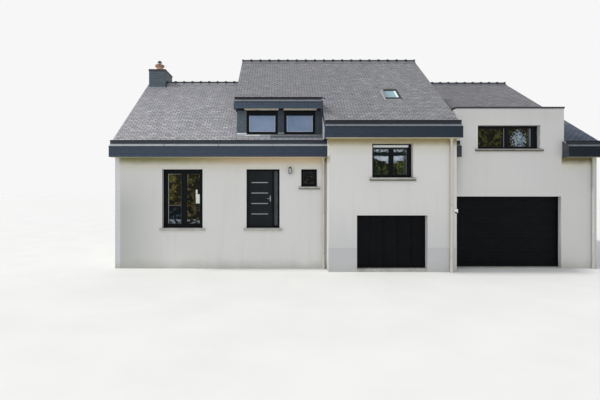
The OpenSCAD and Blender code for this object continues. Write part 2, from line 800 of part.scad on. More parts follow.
module fascias() {
    left = -left_verge;
    right = house_len + right_verge;
    tall_left = tall_x - tall_left_verge;
    wing_left = middle_inner_end - left_verge;
    color("#4b5561") place() {
        at_eave(0, eave_z) {
            fascia(left, middle_x, fascia_h, main_tan, main_slab_z, true, false);
            fascia(middle_end, bay_x + eave_lap, fascia_h, wing_tan, wing_slab_z, false, true);
            fascia(bay_end - eave_lap, right, fascia_h, wing_tan, wing_slab_z, true, true);
        }
        at_eave(-middle_out, middle_eave_z)
            fascia(middle_roof_x, middle_end + tall_right_verge, fascia_h, main_tan,
                main_slab_z, true, true);
        at_eave(dormer_in, dormer_eave_z)
            fascia(tall_x - dormer_verge, middle_roof_x - dormer_end_gap, dormer_fascia_h,
                main_tan, main_slab_z, false, false);
        at_rear_eave(house_depth, eave_z)
            fascia(left, tall_x, fascia_h, main_tan, main_slab_z, true, true);
        at_rear_eave(house_depth, tall_rear_eave_z)
            fascia(tall_left, middle_inner_end, fascia_h, main_tan, main_slab_z, true, false);
        at_rear_eave(wing_depth, eave_z)
            fascia(wing_left, right, fascia_h, wing_tan, wing_slab_z, true, true);
    }
}

module soffits() {
    end = board_t;
    color("#efeadd") place() {
        at_eave(0, eave_z) {
            soffit(end - left_verge, middle_x, fascia_h);
            soffit(middle_end, bay_x + eave_lap - end, fascia_h);
            soffit(bay_end - eave_lap + end, house_len + right_verge - end, fascia_h);
        }
        at_eave(-middle_out, middle_eave_z)
            soffit(middle_roof_x + end, middle_end + tall_right_verge - end, fascia_h);
        at_eave(dormer_in, dormer_eave_z)
            soffit(tall_x - dormer_verge, middle_roof_x - dormer_end_gap, dormer_fascia_h);
        at_rear_eave(house_depth, eave_z)
            soffit(end - left_verge, tall_x - end, fascia_h);
        at_rear_eave(house_depth, tall_rear_eave_z)
            soffit(tall_x - tall_left_verge + end, middle_inner_end, fascia_h);
        at_rear_eave(wing_depth, eave_z)
            soffit(middle_inner_end - left_verge + end, house_len + right_verge - end, fascia_h);
    }
}

module gutters() {
    color("#a9b2b8") place() {
        at_eave(0, eave_z) {
            gutter(-left_verge, middle_x, main_tan, upstand_h);
            gutter(middle_end, bay_x + eave_lap, wing_tan, upstand_h);
            gutter(bay_end - eave_lap, house_len + right_verge, wing_tan, upstand_h);
        }
        at_eave(-middle_out, middle_eave_z)
            gutter(middle_roof_x, middle_end + tall_right_verge, main_tan, upstand_h);
        at_eave(dormer_in, dormer_eave_z)
            gutter(tall_x - dormer_verge, middle_roof_x - dormer_end_gap, main_tan,
                dormer_upstand_h);
        at_rear_eave(house_depth, eave_z)
            gutter(-left_verge, tall_x, main_tan, upstand_h);
        at_rear_eave(house_depth, tall_rear_eave_z)
            gutter(tall_x - tall_left_verge, middle_inner_end, main_tan, upstand_h);
        at_rear_eave(wing_depth, eave_z)
            gutter(middle_inner_end - left_verge, house_len + right_verge, wing_tan,
                upstand_h);
    }
}

// VERGES AND RIDGES

// A board under the roof's edge on one slope, between two depths
module barge(x, y0, y1, top0, top1, thick) {
    slab(x, x + barge_t, y0, y1, top0, top1, thick);
}

module barge_boards() {
    front = -slab_front;
    right_x = house_len + right_verge - barge_t;
    tall_left_x = tall_x - tall_left_verge;
    tall_right_x = middle_end + tall_right_verge - barge_t;
    wing_left_x = middle_inner_end - left_verge;
    tall_cut = roofs_cross_y - cross_half;
    wing_cut = roofs_cross_y + cross_half;
    color("#4b5561") place() {
        for (run = [[front, main_ridge_y], [main_ridge_y, house_depth + slab_front]])
            barge(-left_verge, run[0], run[1], main_top(run[0]), main_top(run[1]),
                main_slab_z);
        for (run = [[dormer_back_y, tall_ridge_y],
                    [tall_ridge_y, house_depth + slab_front]])
            barge(tall_left_x, run[0], run[1], tall_top(run[0]), tall_top(run[1]),
                main_slab_z);
        for (run = [[front - middle_out, tall_ridge_y], [tall_ridge_y, tall_cut]])
            barge(tall_right_x, run[0], run[1], tall_top(run[0]), tall_top(run[1]),
                main_slab_z);
        barge(middle_roof_x, front - middle_out, dormer_back_y, tall_top(front - middle_out),
            tall_top(dormer_back_y), main_slab_z);
        for (run = [[front, wing_ridge_y], [wing_ridge_y, wing_depth + slab_front]])
            barge(right_x, run[0], run[1], wing_top(run[0]), wing_top(run[1]), wing_slab_z);
        for (x = [bay_x + eave_lap - barge_t, bay_end - eave_lap])
            barge(x, front, 0, wing_top(front), wing_top(0), wing_slab_z);
        for (run = [[wing_cut, wing_ridge_y], [wing_ridge_y, wing_depth + slab_front]])
            barge(wing_left_x, run[0], run[1], wing_top(run[0]), wing_top(run[1]),
                wing_slab_z);
    }
}

// Angular ridge tiles, with their wings lying on the slates of both slopes
module ridge_run(x0, x1, y, z, pitch_tan) {
    drop = ridge_tile_w * pitch_tan;
    flat = ridge_flat_w / 2;
    along_x(x0, x1, [[y, z], [y + ridge_tile_w, z - drop],
        [y + ridge_tile_w, z - drop + ridge_tile_t], [y + flat, z + ridge_tile_h],
        [y - flat, z + ridge_tile_h], [y - ridge_tile_w, z - drop + ridge_tile_t],
        [y - ridge_tile_w, z - drop]]);
}

module ridge_tiles() {
    color("#454b54") place() {
        ridge_run(chimney_x + chimney_w, tall_x - tall_left_verge, main_ridge_y,
            main_top(main_ridge_y) + bed, main_tan);
        ridge_run(tall_x - tall_left_verge, middle_end + tall_right_verge, tall_ridge_y,
            tall_top(tall_ridge_y) + bed, main_tan);
        ridge_run(middle_inner_end - left_verge, house_len + right_verge, wing_ridge_y,
            wing_top(wing_ridge_y) + bed, wing_tan);
    }
}

// CHIMNEY AND SKYLIGHT

chimney_y = main_ridge_y + chimney_behind;
chimney_front = chimney_y - chimney_d / 2;
chimney_back = chimney_y + chimney_d / 2;
stack_top_z = chimney_top_z - chimney_cap_t;

function foot_z(y) = main_top(y) + bed;

module chimney_stack() {
    color("#4b5561") place() {
        along_x(chimney_x, chimney_x + chimney_w, [[chimney_front, foot_z(chimney_front)],
            [main_ridge_y, foot_z(main_ridge_y)], [chimney_back, foot_z(chimney_back)],
            [chimney_back, stack_top_z], [chimney_front, stack_top_z]]);
        block(chimney_x - chimney_cap_out, chimney_x + chimney_w + chimney_cap_out,
            chimney_front - chimney_cap_out, chimney_back + chimney_cap_out,
            stack_top_z, chimney_top_z);
    }
}

module chimney_pot() {
    lip_r = pot_r + 55;
    lip_h = 60;
    inner_r = pot_r - 30;
    cup_d = 120;
    foot_r = pot_r + 20;
    foot_h = 60;
    neck_h = 30;
    flue_r = 90;
    flue_up = 70;
    hood_r = 140;
    rim_r = 120;
    rim_h = 30;
    tip_r = 40;
    hood_h = 50;
    cup_z = pot_h - cup_d;
    color("#a9644a") place() translate([chimney_x + pot_in, chimney_y, chimney_top_z]) {
        rotate_extrude() polygon([[0, 0], [foot_r, 0], [pot_r, foot_h],
            [pot_r, pot_h - lip_h - neck_h], [lip_r, pot_h - lip_h], [lip_r, pot_h],
            [inner_r, pot_h], [inner_r, cup_z], [0, cup_z]]);
        translate([0, 0, cup_z]) cylinder(h = cup_d + flue_up, r = flue_r);
        translate([0, 0, pot_h + flue_up]) cylinder(h = rim_h, r1 = hood_r, r2 = rim_r);
        translate([0, 0, pot_h + flue_up + rim_h]) cylinder(h = hood_h, r1 = rim_r, r2 = tip_r);
    }
}

// Lower left corner of the skylight on the tall roof's slates, tilted with the slope
module skylight_place() {
    translate([skylight_x, skylight_y, tall_top(skylight_y)]) rotate([roof_pitch, 0, 0])
        children();
}

module skylight() {
    bar = skylight_bar;
    color("#5b6168") place() skylight_place() difference() {
        translate([0, 0, -roof_t]) cube([skylight_w, skylight_l, roof_t + skylight_up]);
        translate([bar, bar, -2 * roof_t])
            cube([skylight_w - 2 * bar, skylight_l - 2 * bar, 4 * roof_t]);
    }
}

// WINDOWS AND DOORS

// A window frame with one leaf or two, its outer lower left corner at the origin
module window_frame(w, h, leaves) {
    inner_w = leaves == 2 ? (w - 2 * frame_w - post_w) / 2 : w - 2 * frame_w;
    difference() {
        cube([w, frame_d, h]);
        for (i = [0 : leaves - 1])
            translate([frame_w + i * (inner_w + post_w), -1, frame_w])
                cube([inner_w, frame_d + 2, h - 2 * frame_w]);
    }
}

module window_panes(w, h, leaves) {
    inner_w = leaves == 2 ? (w - 2 * frame_w - post_w) / 2 : w - 2 * frame_w;
    for (i = [0 : leaves - 1])
        translate([frame_w + i * (inner_w + post_w), (frame_d - glass_t) / 2, frame_w])
            cube([inner_w, glass_t, h - 2 * frame_w]);
}

// Places of all fixed windows: x, y of the frame's front, z, width, height, leaves
module at_windows(kind) {
    rear_y = house_depth - window_recess - frame_d;
    wing_rear_y = wing_depth - window_recess - frame_d;
    rear_h = head_z - rear_window_z;
    spots = [
        [small_window_x, small_window_recess, small_window_z, small_window_w, head_z - small_window_z, 1],
        [middle_window_x, window_recess - middle_out, middle_window_z, middle_window_w,
            middle_window_h, 2],
        [bay_window_x, window_recess, bay_window_z, bay_window_w, bay_window_h, 2],
        [dormer_window_x, dormer_in + dormer_recess, dormer_sill_z, dormer_window_w,
            dormer_window_h + dormer_head_gap, 1],
        [dormer_second_x, dormer_in + dormer_recess, dormer_sill_z, dormer_window_w,
            dormer_window_h + dormer_head_gap, 1],
        [rear_left_x, rear_y, rear_window_z, rear_window_w, rear_h, 2],
        [rear_middle_x, rear_y, rear_window_z, rear_window_w, rear_h, 2],
        [middle_window_x, rear_y, middle_window_z, middle_window_w, middle_window_h, 2],
        [rear_wing_x, wing_rear_y, wing_rear_z, bay_window_w, rear_wing_h, 2]
    ];
    for (s = spots)
        translate([s[0], s[1], s[2]]) {
            if (kind == "frame") window_frame(s[3], s[4], s[5]);
            if (kind == "glass") window_panes(s[3], s[4], s[5]);
        }
}

module window_frames() {
    color("#23272b") place() at_windows("frame");
}

module window_glass() {
    bar = skylight_bar + bed;
    glass_in = (frame_d - glass_t) / 2;
    color("#6d8190") place() {
        at_windows("glass");
        translate([door_post_x + door_post_w, recess + glass_in, left_floor_z + jamb_w])
            cube([door_end - jamb_w - door_post_x - door_post_w, glass_t,
                door_top_z - left_floor_z - jamb_w]);
        skylight_place() translate([bar, bar, skylight_glass_up])
            cube([skylight_w - 2 * bar, skylight_l - 2 * bar, glass_t]);
    }
}

// A sill whose ears lap over the wall on both sides of its opening
module sill(x0, x1, z_top, depth, thick) {
    block(x0 - sill_ear, x1 + sill_ear, -sill_out, 0, z_top - thick, z_top);
    block(x0, x1, -1, depth, z_top - thick, z_top);
}

module rear_sill(x0, x1, y, z_top) {
    translate([0, y, 0]) mirror([0, 1, 0]) sill(x0, x1, z_top, wall_t, sill_t);
}

module sills() {
    color("#c9c6bf") place() {
        sill(french_x, french_end, step_top_z, wall_t, step_t);
        sill(door_x, door_end, step_top_z, wall_t, step_t);
        sill(small_window_x, small_window_end, small_window_z, wall_t, sill_t);
        translate([0, -middle_out, 0])
            sill(middle_window_x, middle_window_end, middle_window_z, wall_t, sill_t);
        sill(bay_window_x, bay_window_end, bay_window_z, wall_t, sill_t);
        rear_sill(rear_left_x, rear_left_x + rear_window_w, house_depth, rear_window_z);
        rear_sill(rear_middle_x, rear_middle_x + rear_window_w, house_depth, rear_window_z);
        rear_sill(middle_window_x, middle_window_end, house_depth, middle_window_z);
        rear_sill(rear_wing_x, rear_wing_x + bay_window_w, wing_depth, wing_rear_z);
        block(small_garage_x, small_garage_end, -middle_out, wall_t - middle_out, 0,
            garage_floor_z);
        block(wide_garage_x, wide_garage_end, 0, wall_t, 0, wide_floor_z);
    }
}

// A garage door leaf with grooves between its boards or sections
module grooved_door(w, h, joints_x, joints_z) {
    groove = groove_w;
    difference() {
        cube([w, garage_door_t, h]);
        for (x = joints_x)
            translate([x - groove / 2, -1, -1]) cube([groove, groove + 1, h + 2]);
        for (z = joints_z)
            translate([-1, -1, z - groove / 2]) cube([w + 2, groove + 1, groove]);
    }
}

module small_garage_door() {
    boards = 5;
    color("#24282c") place()
        translate([small_garage_x, small_garage_recess - middle_out, garage_floor_z])
            grooved_door(small_garage_w, small_garage_h - garage_floor_z,
                [for (i = [1 : boards - 1]) i * small_garage_w / boards], []);
}

module wide_garage_door() {
    sections = 5;
    height = wide_garage_h - wide_floor_z;
    color("#24282c") place()
        translate([wide_garage_x, recess, wide_floor_z])
            grooved_door(wide_garage_w, height, [],
                [for (i = [1 : sections - 1]) i * height / sections]);
}

// HINGES
// The fixed half carries the pin. The half on the leaf turns round it.

module fixed_hinge(side) {
    difference() {
        union() {
            cylinder(h = knuckle_h, r = knuckle_r);
            translate([side > 0 ? -frame_flap_w : 0, -hinge_out, 0])
                cube([frame_flap_w, frame_flap_t, knuckle_h]);
        }
        translate([0, 0, knuckle_h]) cylinder(h = 1, r = 2 * knuckle_r);
    }
    cylinder(h = 2 * knuckle_h, r = pin_r);
}

module leaf_hinge(side) {
    h = knuckle_h - knuckle_play;
    translate([0, 0, knuckle_h + knuckle_play]) difference() {
        union() {
            cylinder(h = h, r = knuckle_r);
            translate([side > 0 ? 0 : -leaf_flap_w, leaf_y + leaf_t - hinge_y, 0])
                cube([leaf_flap_w, leaf_flap_t, h]);
        }
        translate([0, 0, -1]) cylinder(h = knuckle_h + 2, r = pin_r + pin_clear);
    }
}

module at_hinges(x) {
    for (z = hinge_zs) translate([x, hinge_y, z]) children();
}

// Frame round a doorway with its stops on the outer side
stop_in = leaf_gap + stop_lap;

module doorway_frame(x0, x1) {
    difference() {
        block(x0, x1, recess, recess + frame_d, step_top_z, head_z);
        block(x0 + jamb_w, x1 - jamb_w, 0, wall_t, left_floor_z, door_top_z);
    }
    difference() {
        block(x0, x1, recess - stop_t, recess, step_top_z, head_z);
        block(x0 + jamb_w + stop_in, x1 - jamb_w - stop_in, 0, wall_t,
            left_floor_z + stop_in, door_top_z - stop_in);
    }
}

module front_door_frame() {
    post_end = door_post_x + door_post_w;
    color("#23272b") place() {
        doorway_frame(door_x, door_end);
        block(door_post_x, post_end, recess, recess + frame_d, left_floor_z, door_top_z);
        block(door_post_x - stop_in, post_end, recess - stop_t, recess, left_floor_z,
            door_top_z);
        block(post_end, door_end - jamb_w, recess, recess + frame_d, left_floor_z,
            left_floor_z + jamb_w);
        at_hinges(door_x + jamb_w) fixed_hinge(1);
    }
}

module french_window_frame() {
    color("#23272b") place() {
        doorway_frame(french_x, french_end);
        at_hinges(french_hinge_x) fixed_hinge(1);
        at_hinges(french_hinge_end) fixed_hinge(-1);
    }
}

module front_door_leaf() {
    color("#2a2e33") place() {
        block(door_leaf_x, door_leaf_x + door_leaf_w, leaf_y, leaf_y + leaf_t, leaf_z,
            leaf_z + leaf_h);
        at_hinges(door_x + jamb_w) leaf_hinge(1);
    }
}

// A lever handle on the leaf's face, its rod at the origin, its lever pointing to one side
module lever_handle(side) {
    plate_h = 220;
    plate_w = 34;
    plate_t = 6;
    rod_r = 9;
    translate([-plate_w / 2, -plate_t, -plate_h / 2]) cube([plate_w, plate_t, plate_h]);
    translate([0, -plate_t, 0]) rotate([90, 0, 0]) cylinder(h = lever_out - plate_t, r = rod_r);
    translate([side > 0 ? -rod_r : rod_r - lever_l, -lever_out - rod_r, -rod_r])
        cube([lever_l, 2 * rod_r - 4, 2 * rod_r]);
}

// Four steel bars on the outer face, and a lever handle on each side
module front_door_fittings() {
    bar_w = 620;
    bar_h = 28;
    bar_t = 3;
    bar_x = door_leaf_x + 120;
    bars = 4;
    first_z = 2000;
    step_z = 393;
    handle_x = door_leaf_x + door_leaf_w - 60;
    color("#c4c8cb") place() {
        for (i = [0 : bars - 1])
            block(bar_x, bar_x + bar_w, leaf_y - bar_t, leaf_y,
                first_z + i * step_z - bar_h / 2, first_z + i * step_z + bar_h / 2);
        translate([handle_x, leaf_y, leaf_z + handle_up]) lever_handle(-1);
        translate([handle_x, leaf_y + leaf_t, leaf_z + handle_up]) mirror([0, 1, 0])
            lever_handle(-1);
    }
}

// A glazed leaf: stiles, rails and the turning halves of its hinges
module french_leaf(x0, hinge_x, side) {
    x1 = x0 + french_leaf_w;
    difference() {
        block(x0, x1, leaf_y, leaf_y + leaf_t, leaf_z, leaf_z + leaf_h);
        block(x0 + stile_w, x1 - stile_w, 0, wall_t, leaf_z + bottom_rail_h,
            leaf_z + leaf_h - stile_w);
    }
    at_hinges(hinge_x) leaf_hinge(side);
}

module french_glass(x0) {
    y = leaf_y + (leaf_t - glass_t) / 2;
    block(x0 + stile_w, x0 + french_leaf_w - stile_w, y, y + glass_t,
        leaf_z + bottom_rail_h, leaf_z + leaf_h - stile_w);
}

french_left_x = french_hinge_x + leaf_gap;
french_right_x = french_left_x + french_leaf_w + leaf_gap;

module french_leaf_left() {
    color("#23272b") place() french_leaf(french_left_x, french_hinge_x, 1);
}

module french_leaf_right() {
    color("#23272b") place() french_leaf(french_right_x, french_hinge_end, -1);
}

module french_glass_left() {
    color("#6d8190") place() french_glass(french_left_x);
}

module french_glass_right() {
    color("#6d8190") place() french_glass(french_right_x);
}

// PIPES AND LIGHTS

module downpipe(x, y, top) {
    r = pipe_d / 2;
    axis_y = y - r - pipe_gap;
    shoe_h = 120;
    shoe_out = 8;
    clip = 30;
    end_gap = 550;
    translate([x, axis_y, 0]) cylinder(h = top, r = r);
    translate([x, axis_y, 0]) cylinder(h = shoe_h, r = r + shoe_out);
    for (z = [end_gap, top / 2, top - end_gap])
        translate([x - clip / 2, axis_y, z]) cube([clip, r + pipe_gap, clip]);
}

module downpipes() {
    color("#e3ddcb") place() {
        downpipe(middle_x - left_pipe_in, 0, soffit_z);
        downpipe(middle_end - middle_pipe_in, -middle_out, middle_soffit_z);
        downpipe(house_len - right_pipe_in, 0, soffit_z);
    }
}

module wall_lights() {
    lantern_x = 6480;
    lantern_z = 3500;
    lantern_w = 110;
    lantern_h = 260;
    arm = 40;
    arm_w = 60;
    arm_h = 140;
    lamp_x = middle_end - 130;
    lamp_z = 2080;
    lamp_w = 170;
    lamp_d = 70;
    lamp_h = 150;
    color("#8f9499") place() {
        translate([lantern_x - lantern_w / 2, -arm - lantern_w, lantern_z])
            cube([lantern_w, lantern_w, lantern_h]);
        translate([lantern_x - arm_w / 2, -arm, lantern_z + (lantern_h - arm_h) / 2])
            cube([arm_w, arm, arm_h]);
        translate([lamp_x, -middle_out - lamp_d, lamp_z]) cube([lamp_w, lamp_d, lamp_h]);
    }
}

front_wall_base();
front_wall_piers();
front_wall_bands();
front_wall_infills();
front_wall_tops();
rear_wall_base();
rear_wall_piers();
rear_wall_tops();
left_gable_wall();
middle_left_wall();
middle_right_wall();
wing_left_wall();
right_gable_wall();
tall_left_wall();
bay_side_walls();
ground_floors();
upper_floors();
left_roof_front();
left_roof_rear();
tall_roof_front();
tall_roof_rear();
wing_roof_front();
wing_roof_rear();
lower_roof_strips();
middle_roof_cheek();
dormer_piers();
dormer_sill_wall();
dormer_roof();
bay_roof();
bay_coping();
fascias();
soffits();
gutters();
barge_boards();
ridge_tiles();
chimney_stack();
chimney_pot();
skylight();
window_frames();
window_glass();
sills();
small_garage_door();
wide_garage_door();
front_door_frame();
french_window_frame();
downpipes();
wall_lights();
front_door_leaf();
front_door_fittings();
french_leaf_left();
french_glass_left();
french_leaf_right();
french_glass_right();
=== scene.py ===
"""Looks of the detached house: slates, sheet metal, joinery and materials round the CAD frame.

Lengths are in metres and colours in sRGB, 0 to 255. Pieces are made in house coordinates: x from
the left gable, y from the main front wall, z from the drive. Build.done() moves them to the row
frame, whose coordinates the materials read.
"""

import math
import random

import bpy
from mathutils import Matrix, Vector


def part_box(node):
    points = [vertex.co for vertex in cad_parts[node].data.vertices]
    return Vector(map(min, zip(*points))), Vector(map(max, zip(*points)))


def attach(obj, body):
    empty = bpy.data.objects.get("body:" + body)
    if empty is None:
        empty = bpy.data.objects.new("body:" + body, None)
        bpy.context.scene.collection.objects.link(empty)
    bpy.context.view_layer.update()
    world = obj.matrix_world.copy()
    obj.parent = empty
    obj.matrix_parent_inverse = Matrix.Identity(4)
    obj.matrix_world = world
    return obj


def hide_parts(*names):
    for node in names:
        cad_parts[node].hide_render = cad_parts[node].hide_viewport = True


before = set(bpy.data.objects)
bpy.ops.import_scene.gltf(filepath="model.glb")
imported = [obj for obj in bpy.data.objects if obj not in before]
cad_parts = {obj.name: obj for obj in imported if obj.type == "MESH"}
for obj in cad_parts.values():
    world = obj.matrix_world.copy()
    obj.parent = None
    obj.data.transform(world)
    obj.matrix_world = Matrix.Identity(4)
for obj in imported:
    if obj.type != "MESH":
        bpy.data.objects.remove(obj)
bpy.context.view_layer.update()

MID = Vector((8.925, 5.875, 0.0))       # the row frame's origin in house coordinates
X, Y, Z = Vector((1, 0, 0)), Vector((0, 1, 0)), Vector((0, 0, 1))
rng = random.Random(17)


# ---------------- house numbers
def house_box(node):
    """A CAD node's box in house coordinates: x0, x1, y0, y1, z0, z1."""
    lo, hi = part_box(node)
    box = (lo.x + MID.x, hi.x + MID.x, lo.y + MID.y, hi.y + MID.y, lo.z, hi.z)
    return tuple(round(v, 5) for v in box)


class Roof:
    """One of the three roofs. base is the height of the eaves' edge and out its distance from
    the wall; look and spread are the material of its slates and how far their tones differ."""

    def __init__(self, node, base, out, pitch, look, spread):
        self.base, self.out, self.look, self.spread = base, out, look, spread
        self.ridge_y = house_box(node)[3]
        pitch = math.radians(pitch)
        self.tan, self.cos, self.sin = math.tan(pitch), math.cos(pitch), math.sin(pitch)

    def top(self, y):
        """Height of the roof's top at a depth y."""
        return self.base + (self.ridge_y + self.out - abs(y - self.ridge_y)) * self.tan

    def front_y(self, z):
        """Depth at which the front slope reaches the height z."""
        return (z - self.base) / self.tan - self.out


EAVE, SLATES_OUT = 0.35, 0.21           # how far the eaves and the slates stand out
SLAB = 0.252                            # a roof's thickness, measured upright
EAVE_Z, MIDDLE_EAVE_Z, TALL_REAR_Z = 4.49, 5.11, 5.302
SOFFIT_Z, MIDDLE_SOFFIT_Z = 4.10, 4.72
FASCIA_H, UPSTAND = 0.39, 0.133
DORMER_EAVE_Z, DORMER_FASCIA_H, DORMER_UPSTAND = 6.13, 0.26, 0.088
MAIN = Roof("left_roof_front", EAVE_Z, EAVE, 37.5, "slates_left", 0.16)
TALL = Roof("tall_roof_front", MIDDLE_EAVE_Z, 1.0, 37.5, "slates_tall", 0.15)
WING = Roof("wing_roof_front", EAVE_Z, EAVE, 31.2, "slates_wing", 0.17)

BOARD = 0.03                            # the barge boards' thickness
LEFT_VERGE, RIGHT_VERGE = house_box("barge_boards")[:2]
TALL_VERGE = house_box("tall_roof_front")[0] - BOARD
TALL_END = house_box("tall_roof_front")[1] + BOARD
WING_VERGE = house_box("wing_roof_front")[0] - BOARD
TALL_WALL = house_box("tall_left_wall")[0]
CHEEK_X = house_box("middle_roof_cheek")[0]
MIDDLE_X, _, MIDDLE_Y, REAR = house_box("middle_left_wall")[:4]
MIDDLE_IN, MIDDLE_END = house_box("middle_right_wall")[:2]
WING_REAR = house_box("right_gable_wall")[3]
DORMER_Y, _, DORMER_SILL, DORMER_HEAD = house_box("dormer_piers")[2:]
DORMER_LIGHTS = ((4.86, 6.025), (6.26, 7.425))      # sides of the dormer's two windows
DORMER_X0 = house_box("dormer_roof")[0]
DORMER_BACK = TALL.front_y(house_box("dormer_roof")[5])
PALE_END, DULL_END = 5.35, 5.75         # the strips before the dormer get darker to the right
# where the tall roof's rear slope meets the wing's front slope
CROSS_Y = ((TALL.top(TALL.ridge_y) + TALL.ridge_y * TALL.tan - EAVE_Z - EAVE * WING.tan)
           / (TALL.tan + WING.tan))

BAY = house_box("bay_side_walls")[:2]
STUBS = (BAY[0] + 0.065, BAY[1] - 0.065)            # the wing's front eaves stop at the bay
BAY_BACK = WING.front_y(house_box("bay_roof")[5])
BAY_TOP_Y = WING.front_y(house_box("bay_side_walls")[5])
CAP_OUT = 0.015                         # the chimney's cap stands out over the stack
STACK = house_box("chimney_stack")
CHIMNEY = (STACK[0] + CAP_OUT, STACK[1] - CAP_OUT, STACK[2] + CAP_OUT, STACK[3] - CAP_OUT)
CHIMNEY_TOP, CAP_H = STACK[5], 0.09
POT = house_box("chimney_pot")
POT_RIM = POT[5] - 0.222                # the clay's rim below the hood
SKY_Y, SKY_LEN = 0.67, 0.88             # foot of the skylight and its length along the slope
SKY_X0, SKY_X1 = house_box("skylight")[:2]


# ---------------- materials
def srgb(r, g, b):
    """An sRGB colour as the linear one that a socket takes."""
    def lin(c):
        c /= 255.0
        return c / 12.92 if c <= 0.04045 else ((c + 0.055) / 1.055) ** 2.4
    return (lin(r), lin(g), lin(b), 1.0)


class Mat:
    """A procedural material. c is its colour so far; base() starts it, over() lays on another."""

    def __init__(self, name, rough=0.6, metal=0.0, spec=0.5, coat=0.0):
        self.name = name
        self.m = bpy.data.materials.new(name)
        self.m.use_nodes = True
        self.nt = self.m.node_tree
        self.shader = self.nt.nodes["Principled BSDF"].inputs
        for key, v in (("Roughness", rough), ("Metallic", metal), ("Specular IOR Level", spec),
                       ("Coat Weight", coat)):
            self.shader[key].default_value = v
        self.co = self.node("TexCoord")["Object"]
        self.x, self.y, self.z = self.node("SeparateXYZ", {0: self.co})
        self.c = None

    def put(self, socket, v):
        """Link or set a socket; three numbers are an sRGB colour."""
        if isinstance(v, bpy.types.NodeSocket):
            self.nt.links.new(v, socket)
        else:
            socket.default_value = srgb(*v) if isinstance(v, tuple) and len(v) == 3 else v

    def node(self, kind, inputs=(), **settings):
        """A new node's outputs. inputs maps names or numbers of its sockets to their values."""
        n = self.nt.nodes.new("ShaderNode" + kind)
        for key, v in settings.items():
            setattr(n, key, v)
        for key, v in dict(inputs).items():
            self.put(n.inputs[key], v)
        return n.outputs

    def stretched(self, x, y, z):
        """The coordinates, scaled along each axis."""
        n = self.nt.nodes.new("ShaderNodeMapping")
        self.put(n.inputs["Vector"], self.co)
        n.inputs["Scale"].default_value = (x, y, z)
        return n.outputs["Vector"]

    def noise(self, scale, detail=3.0, rough=0.55, vec=None):
        return self.node("TexNoise", {"Vector": vec or self.co, "Scale": scale,
                                      "Detail": detail, "Roughness": rough})["Fac"]

    def math(self, op, a, b=0.0):
        return self.node("Math", {0: a, 1: b}, operation=op)[0]

    def chain(self, op, first, *rest):
        for v in rest:
            first = self.math(op, first, v)
        return first

    def add(self, *values):
        return self.chain("ADD", *values)

    def sub(self, a, b):
        return self.math("SUBTRACT", a, b)

    def mul(self, *values):
        return self.chain("MULTIPLY", *values)

    def span(self, v, a, b, lo=0.0, hi=1.0):
        """v from a..b mapped to lo..hi, clamped."""
        return self.node("MapRange", {"Value": v, "From Min": a, "From Max": b,
                                      "To Min": lo, "To Max": hi})["Result"]

    def spots(self, scale, detail, a, b, most=1.0, rough=0.55):
        """Noise as a mask: 0 where it is under a, most where it is over b."""
        return self.span(self.noise(scale, detail, rough), a, b, 0, most)

    def within(self, v, a, b, soft=0.02):
        """1 where v lies between a and b, with soft edges."""
        return self.mul(self.span(v, a - soft, a), self.span(v, b, b + soft, 1, 0))

    def shaken(self, v, amount, scale, detail=3.0, rough=0.55):
        """v moved to and fro by noise, by half of amount at most."""
        return self.add(v, self.mul(self.sub(self.noise(scale, detail, rough), 0.5), amount))

    def fract(self, v, step, start=0.0):
        """How far v has got within its step, from 0 to 1."""
        return self.math("FRACT", self.math("DIVIDE", self.sub(v, start), step))

    def lying(self):
        """1 on faces that look up or down, 0 on upright ones."""
        up = self.node("SeparateXYZ", {0: self.node("NewGeometry")["True Normal"]})["Z"]
        return self.span(self.math("ABSOLUTE", up), 0.3, 0.5)

    def tone(self):
        """The tone that a slate or tile was given by Build.add()."""
        return self.node("Attribute", attribute_name="tone")["Fac"]

    def riven(self, fine, coarse):
        """The split face of slate, as a height."""
        return self.add(self.noise(fine, 5, 0.7), self.mul(self.noise(coarse, 3), 0.8))

    def mix(self, f, a, b, blend="MIX"):
        return self.node("Mix", {0: f, 6: a, 7: b}, data_type="RGBA", blend_type=blend)[2]

    def base(self, f, a, b):
        self.c = self.mix(f, a, b)

    def over(self, f, colour):
        self.c = self.mix(f, self.c, colour)

    def times(self, f, r, g, b):
        """Multiply the colour by three factors where the mask f is 1."""
        self.c = self.mix(f, self.c, (r, g, b, 1), "MULTIPLY")

    def finish(self, height=None, strength=0.0, distance=0.0, rough=None):
        """Link the colour, a bump of that height and a roughness to the shader."""
        self.put(self.shader["Base Color"], self.c)
        if rough:
            self.put(self.shader["Roughness"], rough)
        if height:
            bump = self.node("Bump", {"Strength": strength, "Distance": distance,
                                      "Height": height})
            self.put(self.shader["Normal"], bump["Normal"])
        return self


